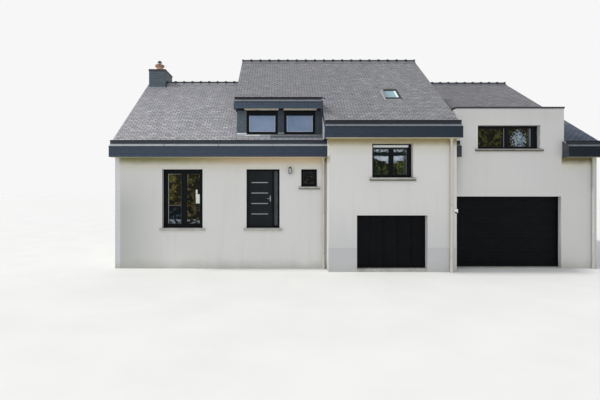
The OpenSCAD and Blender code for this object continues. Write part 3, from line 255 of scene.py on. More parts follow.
def render():
    """Mineral render: fine grain, faint streaks, painted shade under the eaves, at the left end's
    foot and towards the right end, dirt near the ground.
    """
    m = Mat("wall_render", rough=0.92, spec=0.12)
    x, y, z = m.x, m.y, m.z
    front = m.span(y, -5.8, -5.7, 1, 0)
    # painted shade: the walls darken towards the house's right end
    m.base(m.span(x, 3.3, 8.9), (212, 211, 209), (186, 186, 185))
    m.over(m.mul(m.span(x, 3.6, 3.7), m.span(z, 5.2, 5.5, 0, 0.5)), (187, 187, 184))
    # the wing's front wall is shaded in the corner beside the middle part
    corner = m.mul(m.within(x, 3.5, 3.72, 0.3), m.within(z, 3.2, 4.1, 0.6),
                   m.within(y, -5.92, -5.84))
    m.over(m.mul(corner, 0.4), (142, 132, 116))
    m.over(m.spots(0.35, 4, 0.35, 0.65, 0.35), (206, 204, 199))
    m.over(m.spots(38, 2, 0.3, 0.7, 0.3), (188, 187, 184))
    streaks = m.noise(3.2, 4, 0.6, m.stretched(1, 1, 0.12))
    m.over(m.span(streaks, 0.52, 0.75, 0, 0.14), (176, 174, 168))
    # the left end is duller low down, a painted shade of the plants before it that are left out,
    # and has a paler band of coarse render at its corner
    dull = m.mul(front, m.span(x, -8.6, -6.8, 0.85, 0.0), m.span(z, 2.2, 3.6, 1.0, 0.25))
    m.over(dull, (168, 170, 166))
    band = m.mul(front, m.span(x, -8.75, -8.73, 1, 0))
    coarse = m.mix(m.spots(46, 3, 0.35, 0.65, 1, 0.7), (186, 186, 192), (222, 221, 226))
    m.over(m.mul(band, 0.7), coarse)
    ground = m.add(z, m.mul(m.noise(1.7, 4), -0.5))
    m.over(m.span(ground, -0.25, 0.12, 0.4, 0.0), (150, 148, 134))
    # the middle part has a darker plinth under a soft fade
    middle = m.mul(m.within(x, -1.12, 3.44), m.span(y, -6.45, -6.4, 1, 0))
    m.over(m.mul(middle, m.span(z, 0.9, 2.4, 0.6, 0.0)), (187, 188, 189))
    m.over(m.mul(middle, m.span(z, 0.845, 0.855, 0.24, 0.0)), (150, 150, 153))
    # painted shade and bounced light under the soffits, which stand at two heights; greener towards
    # both ends of the house
    eave_shade = m.mix(m.span(x, -8.8, -7.0), (134, 133, 98), (138, 137, 98))
    for x0, x1, tint in ((-7.0, -4.2, (187, 168, 136)), (-4.2, -1.5, (198, 180, 148)),
                         (-1.2, -1.1, (152, 141, 104)), (7.2, 7.4, (114, 107, 77))):
        eave_shade = m.mix(m.span(x, x0, x1), eave_shade, tint)
    left = m.mul(m.within(x, -8.70, -1.13, 0.12), front)
    right = m.mul(m.within(x, 7.62, 8.84, 0.03), front)
    edge = m.shaken(z, 0.10, 2.5)
    for mask, soffit in ((m.math("MAXIMUM", left, right), SOFFIT_Z), (middle, MIDDLE_SOFFIT_Z)):
        mask = m.mul(mask, m.span(z, soffit + 0.01, soffit + 0.02, 1, 0))
        # below each soffit a warm band of painted bounce light, and nearer it the painted shade
        m.over(m.mul(mask, m.span(edge, soffit - 0.62, soffit - 0.16, 0, 0.55)), (196, 189, 164))
        m.over(m.mul(mask, m.span(edge, soffit - 0.29, soffit - 0.09)), eave_shade)
    grain = m.add(m.noise(260, 3, 0.7), m.mul(m.noise(9, 2), 0.6),
                  m.mul(band, m.noise(46, 3, 0.7)))
    return m.finish(grain, 0.35, 0.004)


def slates(name, dark, mid, pale, lichen, fade=0.0):
    """Riven roof slates; each slate's own tone comes with its faces. fade darkens upper rows."""
    m = Mat(name, rough=0.55, spec=0.3)
    tone = m.tone()
    m.base(m.span(tone, 0.0, 0.55), dark, mid)
    m.over(m.span(tone, 0.55, 1.0), pale)
    m.over(m.spots(14, 5, 0.35, 0.7, 0.3, 0.65), dark)
    m.over(m.spots(0.8, 5, 0.5, 0.78, 0.3, 0.6), lichen)
    m.over(m.span(m.z, 5.4, 7.6, 0.0, fade), dark)
    # the strip of roof to the right of the bay stands in its blue shade
    stub = m.mul(m.span(m.x, 7.66, 7.72), m.span(m.z, 5.5, 5.75, 1, 0),
                 m.span(m.y, -4.2, -3.6, 1, 0))
    m.over(m.mul(stub, m.span(m.noise(2.4, 4), 0.2, 0.5, 0.6, 1.0)), (52, 64, 82))
    return m.finish(m.riven(55, 16), 0.5, 0.004, m.span(tone, 0, 1, 0.46, 0.68))


def clad(name, left, right, course=0.0):
    """Smooth slate cladding, darker towards the house's right end; course draws its joints."""
    m = Mat(name, rough=0.5, spec=0.14)
    m.base(m.span(m.x, -5.0, 8.3), left, right)
    m.times(m.span(m.tone(), 0.0, 1.0, 0.0, 0.4), 1.6, 1.6, 1.6)
    m.times(m.spots(9, 5, 0.4, 0.75, 0.45, 0.65), 0.6, 0.6, 0.62)
    if course:
        m.over(m.span(m.fract(m.z, course, SOFFIT_Z), 0.0, 0.06, 0.8, 0.0), (16, 18, 22))
        end = m.mul(m.within(m.x, 7.62, 7.635, 0.004), m.span(m.z, 4.6, 4.7, 1, 0))
        m.over(end, (60, 61, 65))
    return m.finish(m.riven(48, 14), 0.35, 0.003)


def worn(m, base, tint, rough):
    """Weathering shared by all sheet metal: dull spangle, runs and slight dents."""
    spangle = m.noise(6, 5, 0.65)
    m.base(m.span(spangle, 0.38, 0.66, 0, 0.7), base, tint)
    runs = m.noise(5, 4, 0.6, m.stretched(1, 1, 0.15))
    m.times(m.span(runs, 0.5, 0.8, 0, 0.6), 0.62, 0.63, 0.66)
    return m.finish(m.noise(2.2, 3), 0.25, 0.006,
                    m.span(spangle, 0.3, 0.7, rough - 0.08, rough + 0.12))


def sheet(name, base, tint, rough, metal=0.1):
    return worn(Mat(name, rough=rough, metal=metal, spec=0.3), base, tint, rough)


def darker_eaves(m):
    """1 on the middle eaves and on all of the right wing's."""
    return m.math("MAXIMUM", m.span(m.z, 4.8, 5.0), m.span(m.x, 3.4, 3.5))


def gutter():
    """Zinc: pale where it lies open to the sky, a painted sky reflection; dark on drips, a painted
    shade; duller on the darker eaves.
    """
    m = Mat("gutter_zinc", rough=0.5, metal=0.1, spec=0.3)
    pale = m.mix(darker_eaves(m), (150, 155, 161), (98, 105, 113))
    pale = m.mix(m.span(m.x, 7.2, 7.6), pale, (80, 89, 98))
    upper = m.mix(0.5, pale, (128, 133, 138))
    # painted light: lying faces take a pale painted sky reflection, upright faces and drips a dark
    # painted shade
    sky_sheen = m.lying()
    return worn(m, m.mix(sky_sheen, (14, 17, 21), pale), m.mix(sky_sheen, (22, 26, 31), upper), 0.5)


def upstand():
    """The dark sheet behind the pale strip."""
    m = Mat("upstand_zinc", rough=0.5, metal=0.1, spec=0.25)
    high = darker_eaves(m)
    return worn(m, m.mix(high, (46, 51, 59), (32, 37, 43)),
                m.mix(high, (60, 66, 75), (44, 50, 56)), 0.5)


def soffit():
    """Painted boards under the eaves: dull at both ends of the house, paler in the middle."""
    m = Mat("cream_paint", rough=0.55, spec=0.3)
    m.base(m.span(m.x, -7.6, -5.6), (169, 171, 148), (207, 199, 170))
    m.over(m.span(m.x, -5.6, -1.4), (238, 227, 207))
    m.over(m.span(m.x, -1.25, -1.2), (208, 200, 174))
    m.over(m.span(m.x, 7.2, 7.5), (160, 154, 135))
    m.times(m.spots(1.4, 4, 0.35, 0.7, 0.35), 0.8, 0.8, 0.78)
    m.times(m.span(m.fract(m.y, 0.117), 0.0, 0.05, 0.7, 0.0), 0.4, 0.4, 0.4)
    return m.finish(m.noise(170, 2), 0.25, 0.0015)


def paint(name, base, shade, rough, grain=0.25):
    """Matt paint or underlay, slightly patchy."""
    m = Mat(name, rough=rough, spec=0.3)
    m.base(m.spots(1.4, 4, 0.35, 0.7, 0.6), base, shade)
    m.over(m.spots(24, 3, 0.5, 0.8, 0.25), shade)
    return m.finish(m.noise(170, 2), grain, 0.0015,
                    m.span(m.noise(7, 3), 0.3, 0.7, rough - 0.06, rough + 0.1))


def pipe_paint():
    """Painted downpipes, duller at the right end of the house."""
    m = Mat("pipe_paint", rough=0.4, spec=0.3)
    m.base(m.span(m.x, 8.0, 8.2), (200, 194, 184), (182, 180, 174))
    m.times(m.spots(1.4, 4, 0.35, 0.7, 0.6), 0.84, 0.82, 0.8)
    return m.finish(m.noise(170, 2), 0.1, 0.0015)


def powder(name, base, dust, spec=0.12):
    """Structured powder coating on aluminium, a little dusty."""
    m = Mat(name, rough=0.5, spec=spec)
    m.base(m.spots(2.6, 4, 0.45, 0.8, 0.5, 0.6), base, dust)
    m.over(m.spots(420, 2, 0.55, 0.75, 0.35), dust)
    return m.finish(m.noise(600, 2), 0.3, 0.0008, m.span(m.noise(5, 3), 0.3, 0.7, 0.42, 0.58))


def concrete(name, pale, grey, stain):
    """Cast concrete with pores and runs."""
    m = Mat(name, rough=0.85, spec=0.2)
    m.base(m.spots(3, 5, 0.35, 0.7), pale, grey)
    m.over(m.spots(90, 3, 0.55, 0.75, 0.5), stain)
    m.over(m.span(m.noise(6, 4, 0.6, m.stretched(1, 1, 0.2)), 0.5, 0.75, 0, 0.45), stain)
    return m.finish(m.noise(130, 4, 0.7), 0.4, 0.002)


def steel():
    """Steel brushed across its width."""
    m = Mat("brushed_steel", rough=0.3, metal=1.0)
    lines = m.noise(30, 4, 0.6, m.stretched(2, 60, 60))
    m.base(m.span(lines, 0.3, 0.7), (126, 130, 135), (152, 155, 159))
    return m.finish(lines, 0.15, 0.0005, m.span(lines, 0.3, 0.7, 0.24, 0.44))


def clay():
    """Fired clay, darker at the lip."""
    m = Mat("fired_clay", rough=0.8, spec=0.2)
    m.base(m.spots(11, 4, 0.35, 0.7), (208, 164, 140), (188, 144, 120))
    dark_lip = m.mul(m.span(m.z, POT_RIM - 0.075, POT_RIM - 0.045, 0.0, 0.8),
                 m.span(m.noise(9, 4), 0.2, 0.5, 0.6, 1.0))
    m.over(dark_lip, (80, 60, 50))
    return m.finish(m.noise(85, 4), 0.4, 0.003)


def plastic(name, base, shade):
    m = Mat(name, rough=0.4, spec=0.3)
    m.base(m.spots(30, 3, 0.35, 0.7), base, shade)
    return m.finish(m.noise(300, 2), 0.15, 0.0006)


# ---------------- painted reflections in the panes
def pane(name, spec=0.06, coat=0.02):
    m = Mat(name, rough=0.05, spec=spec, coat=coat)
    m.shader["Coat Roughness"].default_value = 0.02
    return m


def glazed(m):
    """The slight waviness that all panes share."""
    return m.finish(m.noise(0.8, 1), 0.02, 0.01)


def foliage(m, scale, deep, leaf, gleam, share=0.5):
    """Painted reflection of leaves in a pane: dark depth, lit clumps and small bright flecks."""
    clumps, leaves = m.noise(scale, 5, 0.66), m.noise(scale * 2.6, 4, 0.7)
    flecks = m.mul(m.span(leaves, 0.54, 0.62, 0, 0.8), m.span(clumps, share - 0.03, share))
    shade = tuple(0.25 * v for v in srgb(*deep)[:3]) + (1,)
    c = m.mix(m.span(clumps, share - 0.04, share + 0.05), deep, leaf)
    return m.mix(m.span(leaves, 0.38, 0.44, 0.9, 0.0), m.mix(flecks, c, gleam), shade)


def away(m, x, z, rx, rz):
    """Squared distance from x, z (house coordinates): 1 on the oval with the radii rx and rz."""
    dx = m.math("DIVIDE", m.sub(m.x, x - MID.x), rx)
    dz = m.math("DIVIDE", m.sub(m.z, z), rz)
    return m.add(m.mul(dx, dx), m.mul(dz, dz))


def speckle(m, x, z, rx, rz, scale, start):
    """Painted flecks between reflected leaves, dense at x, z (house coordinates) and thinning out
    to rx, rz.
    """
    level = m.sub(m.noise(scale, 4, 0.7), m.mul(away(m, x, z, rx, rz), 0.20))
    return m.span(level, start, start + 0.05)


def garden_pane():
    """French window, a painted reflection: sunlit hedge over a dark terrace, and a strip of
    daylight on the right.
    """
    m = pane("glass_garden")
    x, z = m.x, m.z
    right_leaf = (2.46 - MID.x, 2.52 - MID.x)
    brush = m.mix(m.spots(2.2, 3, 0.40, 0.58), (88, 86, 24), (66, 52, 26))
    hedge = foliage(m, 5.0, (22, 22, 9), brush, (132, 128, 76), 0.52)
    terrace = foliage(m, 5.5, (10, 16, 20), (34, 48, 58), (84, 98, 106), 0.56)
    brown = foliage(m, 5.0, (20, 19, 10), (58, 52, 32), (108, 102, 76), 0.52)
    low = m.mix(m.span(x, *right_leaf), terrace, brown)
    hedge = m.mix(m.span(x, *right_leaf, 0.0, 0.8), hedge, (0.42, 0.42, 0.5, 1), "MULTIPLY")
    m.base(m.span(z, 2.28, 2.34), low, hedge)
    rail = m.mul(m.within(z, 2.315, 2.335, 0.01), m.span(x, -6.5, -6.4, 0.55, 0))
    m.over(rail, (116, 112, 112))
    ragged = m.shaken(away(m, 2.635, 3.36, 0.04, 0.20), 0.9, 12, 4, 0.7)
    m.over(m.mul(m.span(ragged, 0.75, 1.0, 1.0, 0.0), 0.7), (92, 98, 66))
    # daylight between the house and the hedge, with a leaf in front of its upper right corner
    wobble = m.mul(m.sub(m.noise(12, 3), 0.5), 0.05)
    xr, zr = m.add(x, wobble), m.add(z, wobble)
    gap = m.mul(m.span(xr, 2.935 - MID.x, 2.95 - MID.x), m.within(zr, 2.40, 2.91, 0.015))
    leaf = m.mul(m.span(xr, 3.0 - MID.x, 3.015 - MID.x), m.span(zr, 2.735, 2.75))
    day = m.mix(m.span(x, 2.99 - MID.x, 3.03 - MID.x), (214, 214, 196), (212, 222, 224))
    m.over(m.sub(gap, m.mul(gap, leaf)), day)
    m.over(m.mul(m.span(z, 1.77, 1.82, 1, 0), m.spots(6.5, 3, 0.49, 0.54, 0.9)), (128, 140, 148))
    return glazed(m)


def street_pane():
    """Middle window, a painted reflection: pale sky with a dark branch, above a tree line that dips
    in the middle.
    """
    m = pane("glass_middle")
    x, z = m.x, m.z
    brush = m.mix(m.spots(2.5, 3, 0.42, 0.58), (60, 62, 20), (36, 50, 32))
    trees = foliage(m, 5.0, (18, 22, 12), brush, (92, 98, 58), 0.51)
    dip = m.math("ABSOLUTE", m.sub(x, 10.12 - MID.x))
    edge = m.shaken(m.sub(z, m.mul(dip, 0.30)), 0.35, 9, 4, 0.7)
    sky = m.mix(m.spots(6, 3, 0.4, 0.6), (148, 158, 174), (182, 190, 200))
    m.base(m.span(edge, 3.84, 3.88), trees, sky)
    m.over(m.within(m.shaken(z, 0.16, 3.5), 4.13, 4.25, 0.03), (14, 24, 26))
    m.over(m.mul(m.span(z, 4.22, 4.26), m.spots(14, 4, 0.50, 0.55, 1, 0.7)), (22, 32, 30))
    bush = m.mul(m.span(x, 10.50 - MID.x, 10.58 - MID.x),
                 m.span(m.noise(8, 4), 0.40, 0.5, 0.2, 0.9))
    m.over(bush, (52, 66, 52))
    return glazed(m)


def leafy_pane():
    """Bay window, a painted reflection: olive foliage, with daylight breaking through the leaves in
    the right half.
    """
    m = pane("glass_bay")
    brush = m.mix(m.spots(2.5, 3, 0.42, 0.58), (48, 46, 18), (34, 36, 18))
    m.c = foliage(m, 5.0, (18, 18, 9), brush, (86, 84, 38), 0.50)
    m.over(m.mul(speckle(m, 14.28, 4.92, 0.30, 0.42, 6, 0.44), 0.7), (74, 74, 36))
    day = m.mix(m.spots(5, 2, 0.4, 0.6), (120, 136, 148), (158, 170, 182))
    m.over(speckle(m, 15.09, 4.78, 0.36, 0.46, 16, 0.42), day)
    return glazed(m)


# a painted reflection of dark leaves
def dark_pane():
    m = pane("glass_dark")
    m.c = foliage(m, 6.0, (20, 22, 20), (40, 44, 38), (92, 96, 92), 0.54)
    return glazed(m)


def sky_pane(name, low, high):
    """A pane with nothing but a painted reflection of an even sky."""
    m = pane(name, coat=0.2)
    m.base(m.spots(1.3, 4, 0.35, 0.65, 1, 0.5), low, high)
    return glazed(m)


def roof_light():
    """Skylight pane, a painted reflection: grey-blue on the left, green in the middle, a painted
    highlight on the right edge.
    """
    m = pane("glass_green", coat=0.2)
    m.base(m.span(m.x, 10.27 - MID.x, 10.48 - MID.x), (106, 124, 146), (122, 156, 160))
    m.over(m.spots(5, 3, 0.4, 0.6, 0.3), (146, 168, 172))
    m.over(m.span(m.x, 10.62 - MID.x, 10.67 - MID.x), (216, 234, 238))
    return glazed(m)


MATERIALS = [
    render(), gutter(), upstand(), soffit(), pipe_paint(), steel(), clay(),
    garden_pane(), street_pane(), leafy_pane(), dark_pane(), roof_light(),
    sky_pane("glass_pale", (108, 130, 157), (132, 148, 176)),
    sky_pane("glass_dim", (62, 72, 76), (84, 94, 98)),
    slates("slates_left", (118, 118, 124), (150, 150, 155), (180, 179, 183), (156, 154, 150),
           0.5),
    slates("slates_tall", (99, 100, 104), (126, 126, 130), (149, 149, 153), (132, 131, 128), 0.1),
    slates("slates_wing", (84, 85, 90), (112, 112, 116), (136, 136, 140), (116, 114, 112)),
    # a lighter copy of the slates: painted light on strips that the dormer and the eaves shade
    slates("slates_skirt_painted_light", (150, 152, 157), (178, 180, 184), (204, 206, 209), (178, 178, 174)),
    clad("clad_slates", (57, 67, 81), (13, 24, 31)),
    clad("clad_courses", (57, 67, 81), (13, 24, 31), 0.125),
    clad("clad_dormer", (67, 77, 92), (38, 48, 58)),
    clad("pier_slates", (82, 92, 100), (66, 72, 80)),
    clad("dim_piers", (56, 63, 74), (52, 58, 68)),
    # a darker copy of the skirt slates: painted shadow of the dormer's sill
    clad("skirt_painted_shadow", (106, 112, 117), (100, 106, 112)),
    clad("end_slates", (54, 56, 60), (50, 52, 56)),
    clad("dark_end", (58, 61, 65), (54, 57, 61)),
    sheet("white_zinc", (226, 228, 227), (206, 209, 209), 0.45, 0.0),
    sheet("pale_zinc", (178, 181, 183), (150, 154, 158), 0.45),
    sheet("grey_zinc", (128, 133, 136), (108, 112, 116), 0.5),
    sheet("dark_zinc", (44, 48, 55), (60, 66, 75), 0.5),
    sheet("edge_zinc_and_shade", (13, 15, 20), (24, 27, 33), 0.5),
    sheet("roof_metal", (46, 48, 51), (64, 67, 71), 0.5),
    paint("roof_underlay", (52, 52, 56), (44, 44, 48), 0.8),
    paint("ridge_dark", (30, 36, 46), (44, 49, 58), 0.6, 0.5),
    powder("anthracite", (11, 14, 18), (20, 24, 30), 0.09),
    powder("door_anthracite", (22, 27, 31), (32, 38, 43)),
    powder("garage_anthracite", (6, 7, 10), (16, 18, 23), 0.08),
    concrete("cast_concrete", (176, 175, 170), (160, 158, 152), (128, 126, 119)),
    concrete("concrete_stain_and_shade", (104, 103, 92), (88, 86, 76), (70, 68, 60)),
    plastic("black_rubber", (10, 10, 11), (18, 18, 20)),
    plastic("pale_bead", (146, 150, 142), (116, 120, 112)),
    plastic("dim_bead", (102, 104, 112), (82, 84, 92)),
    plastic("bright_bead", (172, 184, 200), (154, 166, 184)),
    plastic("pale_slat", (220, 222, 218), (204, 208, 204)),
    plastic("white_plastic", (232, 232, 230), (220, 220, 217)),
    plastic("frosted_glass", (176, 178, 176), (150, 152, 150)),
]
M = {m.name: m.m for m in MATERIALS}

LOOKS = {
    "wall_render": "front_wall_base front_wall_piers front_wall_bands front_wall_infills "
                   "front_wall_tops rear_wall_base rear_wall_piers rear_wall_tops "
                   "left_gable_wall middle_left_wall middle_right_wall wing_left_wall "
                   "right_gable_wall bay_side_walls",
    "cast_concrete": "ground_floors upper_floors sills",
    "roof_underlay": "dormer_piers dormer_sill_wall left_roof_front left_roof_rear "
                     "tall_roof_front tall_roof_rear wing_roof_front wing_roof_rear "
                     "lower_roof_strips middle_roof_cheek",
    "clad_courses": "tall_left_wall fascias barge_boards",
    "dark_end": "chimney_stack",
    "roof_metal": "dormer_roof bay_roof bay_coping",
    "grey_zinc": "skylight",
    "gutter_zinc": "gutters",
    "cream_paint": "soffits",
    "fired_clay": "chimney_pot",
    "anthracite": "window_frames front_door_frame french_window_frame french_leaf_left "
                  "french_leaf_right",
    "door_anthracite": "front_door_leaf",
    "garage_anthracite": "small_garage_door wide_garage_door",
    "brushed_steel": "front_door_fittings",
    "pipe_paint": "downpipes",
    "glass_garden": "french_glass_left french_glass_right",
}
for look, nodes in LOOKS.items():
    for node in nodes.split():
        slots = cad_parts[node].data.materials
        slots.clear()
        slots.append(M[look])

# ---------------- mesh making
BOX_FACES = [(0, 2, 3, 1), (4, 5, 7, 6), (0, 1, 5, 4), (2, 6, 7, 3), (0, 4, 6, 2), (1, 3, 7, 5)]


def circle(x, y, r, sides, start=0.0):
    """Points round a centre."""
    angles = [math.tau * i / sides + start for i in range(sides)]
    return [(x + r * math.cos(a), y + r * math.sin(a)) for a in angles]


def grown(rect, by):
    """A rectangle (x0, x1, z0, z1) made larger, or smaller, on all sides."""
    x0, x1, z0, z1 = rect
    return (x0 - by, x1 + by, z0 - by, z1 + by)


class Build:
    """Collects faces in house coordinates and turns them into one piece."""

    def __init__(self):
        self.verts, self.faces, self.tones, self.slots, self.looks = [], [], [], [], []

    def add(self, verts, faces, look, tone=0.5):
        if look not in self.looks:
            self.looks.append(look)
        n = len(self.verts)
        self.verts += verts
        self.faces += [[i + n for i in f] for f in faces]
        self.tones += [tone] * len(faces)
        self.slots += [self.looks.index(look)] * len(faces)

    def box(self, x0, x1, y0, y1, z0, z1, look, bevel=0.0):
        """A box whose edges may be chamfered. y0 and y1 come in either order."""
        y0, y1 = sorted((y0, y1))
        if not bevel:
            self.add([(x, y, z) for z in (z0, z1) for y in (y0, y1) for x in (x0, x1)],
                     BOX_FACES, look)
            return
        b = bevel
        v = []
        for z, s in ((z0, b), (z0 + b, 0), (z1 - b, 0), (z1, b)):
            v += [(x0 + b, y0 + s, z), (x1 - b, y0 + s, z), (x1 - s, y0 + b, z),
                  (x1 - s, y1 - b, z), (x1 - b, y1 - s, z), (x0 + b, y1 - s, z),
                  (x0 + s, y1 - b, z), (x0 + s, y0 + b, z)]
        f = [(r + i, r + (i + 1) % 8, r + 8 + (i + 1) % 8, r + 8 + i)
             for r in (0, 8, 16) for i in range(8)]
        self.add(v, f + [range(7, -1, -1), range(24, 32)], look)

    def post(self, x, y, half, z0, z1, look, bevel=0.0, deep=None):
        """A box centred on x, y; half is half its width, deep half its depth if that differs."""
        deep = deep or half
        self.box(x - half, x + half, y - deep, y + deep, z0, z1, look, bevel)

    def prism(self, points, a, b, look, tone=0.5, axis="x"):
        """A closed outline (two coordinates) run along the x or y axis from a to b."""
        n = len(points)
        v = [(s, p, q) if axis == "x" else (p, s, q) for s in (a, b) for p, q in points]
        f = [range(n - 1, -1, -1), range(n, 2 * n)]
        self.add(v, f + [(i, (i + 1) % n, n + (i + 1) % n, n + i) for i in range(n)], look, tone)

    def tube(self, x, y, z0, z1, r0, r1, look, sides=20, caps=True):
        """An upright tube or cone."""
        v = [(*p, z) for z, r in ((z0, r0), (z1, r1)) for p in circle(x, y, r, sides)]
        f = [(i, (i + 1) % sides, sides + (i + 1) % sides, sides + i) for i in range(sides)]
        if caps:
            f += [range(sides - 1, -1, -1), range(sides, 2 * sides)]
        self.add(v, f, look)

    def turned(self, x, y, profile, look, sides=28):
        """A closed profile of (radius, z) turned about an upright axis."""
        n = len(profile)
        rounds = [circle(x, y, r, sides) for r, _ in profile]
        v = [(*rounds[k][i], profile[k][1]) for i in range(sides) for k in range(n)]
        f = [(i * n + k, (i + 1) % sides * n + k, (i + 1) % sides * n + (k + 1) % n,
              i * n + (k + 1) % n) for i in range(sides) for k in range(n)]
        self.add(v, f, look)

    def ring(self, outer, inner, y_front, y_back, look, lip=0.0):
        """A mitred window ring between two rectangles; lip slopes the inner edge."""
        v = [(x, y, z)
             for (x0, x1, z0, z1), y in ((outer, y_front), (inner, y_front),
                                         (grown(inner, -lip), y_back), (outer, y_back))
             for x, z in ((x0, z0), (x1, z0), (x1, z1), (x0, z1))]
        f = [(a + i, a + (i + 1) % 4, b + (i + 1) % 4, b + i)
             for a, b in ((0, 4), (4, 8), (8, 12), (12, 0)) for i in range(4)]
        self.add(v, f, look)

    def done(self, name, slot, body="house", replaces=()):
        """Make the piece and put it on its body."""
        mesh = bpy.data.meshes.new(name)
        mesh.from_pydata([(x - MID.x, y - MID.y, z) for x, y, z in self.verts], [], self.faces)
        for look in self.looks:
            mesh.materials.append(M[look])
        mesh.polygons.foreach_set("material_index", self.slots)
        mesh.attributes.new("tone", "FLOAT", "FACE").data.foreach_set("value", self.tones)
        mesh.update()
        mesh.validate()
        obj = bpy.data.objects.new(name, mesh)
        bpy.context.scene.collection.objects.link(obj)
        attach(obj, body)
        if replaces:
            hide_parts(*replaces)


# ---------------- slates
def minus(rects, hole):
    """Rectangles (u0, u1, v0, v1) with a hole of the same kind cut out of them."""
    out = []
    a0, a1, b0, b1 = hole
    for u0, u1, v0, v1 in rects:
        if a0 >= u1 or a1 <= u0 or b0 >= v1 or b1 <= v0:
            out.append((u0, u1, v0, v1))
            continue
        m0, m1 = max(u0, a0), min(u1, a1)
        out += [(u0, a0, v0, v1), (a1, u1, v0, v1), (m0, m1, v0, b0), (m0, m1, b1, v1)]
    return [r for r in out if r[1] - r[0] > 0.02 and r[3] - r[2] > 0.012]


def slate(b, o, u, v, n, r, look, lift, spread, hooked):
    """One riven slate on a plane: its lower edge is dressed and stands on the course below."""
    def at(a, c, h):
        return tuple(o + u * a + v * c + n * h)

    def facing(faces):
        return [f[::-1] for f in faces] if u.cross(v).dot(n) < 0 else faces

    u0, u1, v0, v1 = r
    gap = 0.008 if hooked else 0.0025
    u0, u1, v0 = u0 + gap, u1 - gap, v0 + (0.0 if hooked else 0.005)
    low, high = lift * rng.uniform(0.85, 1.15), 0.35 * lift
    ragged = [rng.uniform(-0.0025, 0.0025) for _ in range(4)]
    across = [u0, u0 + 0.3 * (u1 - u0), u0 + 0.7 * (u1 - u0), u1]
    tilt = rng.uniform(-0.0012, 0.0012)
    edge = [(across[i], v0 + ragged[i], low + tilt * (1 if i > 1 else -1)) for i in range(4)]
    rim = edge + [(u1, v1, high), (u0, v1, high)]
    foot = [(a, c, 0.0) for a, c, _ in rim]
    faces = [(0, 1, 2, 3, 4, 5), (0, 6, 7, 1), (1, 7, 8, 2), (2, 8, 9, 3), (3, 9, 10, 4),
             (5, 11, 6, 0)]
    b.add([at(*p) for p in rim + foot], facing(faces), look,
          min(1.0, max(0.0, rng.gauss(0.5, spread))))
    if hooked and u1 - u0 > 0.16:
        # the steel hook that holds the slate's foot
        m0, m1 = (u0 + u1) / 2 - 0.002, (u0 + u1) / 2 + 0.002
        top, end = v0 + 0.016, v0 - 0.005
        bar = [(m0, top, low + 0.003), (m1, top, low + 0.003), (m1, end, low + 0.003),
               (m0, end, low + 0.003), (m0, end, 0.002), (m1, end, 0.002)]
        b.add([at(*p) for p in bar], facing([(3, 2, 1, 0), (2, 3, 4, 5)]), "dark_zinc")


def courses(b, o, u, v, n, area, look, wide=0.22, gauge=0.115, lift=0.009, spread=0.11,
            holes=(), hooked=False):
    """Courses of slates over area (u0, u1, v0, v1) in broken bond, with rectangular holes."""
    u0, u1, v0, v1 = area
    rows = max(1, round((v1 - v0) / gauge))
    g = (v1 - v0) / rows
    for k in range(rows):
        a = u0 - (wide / 2 if k % 2 else 0.0)
        while a < u1 - 0.01:
            e = a + wide * rng.uniform(0.985, 1.015)
            if u1 - e < 0.05:
                e = u1
            rects = [(max(a, u0), min(e, u1), v0 + k * g, v0 + (k + 1) * g)]
            for hole in holes:
                rects = minus(rects, hole)
            for r in rects:
                if r[1] - r[0] > 0.02:
                    slate(b, o, u, v, n, r, look, lift, spread, hooked)
            a = e


def slope_slates(b, roof, rear, area, holes=(), look=None):
    """Slates on a roof slope. area and holes are (x0, x1, y0, y1) in plan."""
    x0, x1, y0, y1 = area
    foot, way = (y1, -1) if rear else (y0, 1)
    cut = [(a0, a1, *sorted((way * (b0 - foot) / roof.cos, way * (b1 - foot) / roof.cos)))
           for a0, a1, b0, b1 in holes]
    courses(b, Vector((0, foot, roof.top(foot))), X, Vector((0, way * roof.cos, roof.sin)),
            Vector((0, -way * roof.sin, roof.cos)), (x0, x1, 0.0, (y1 - y0) / roof.cos),
            look or roof.look, spread=roof.spread, holes=cut, hooked=True)


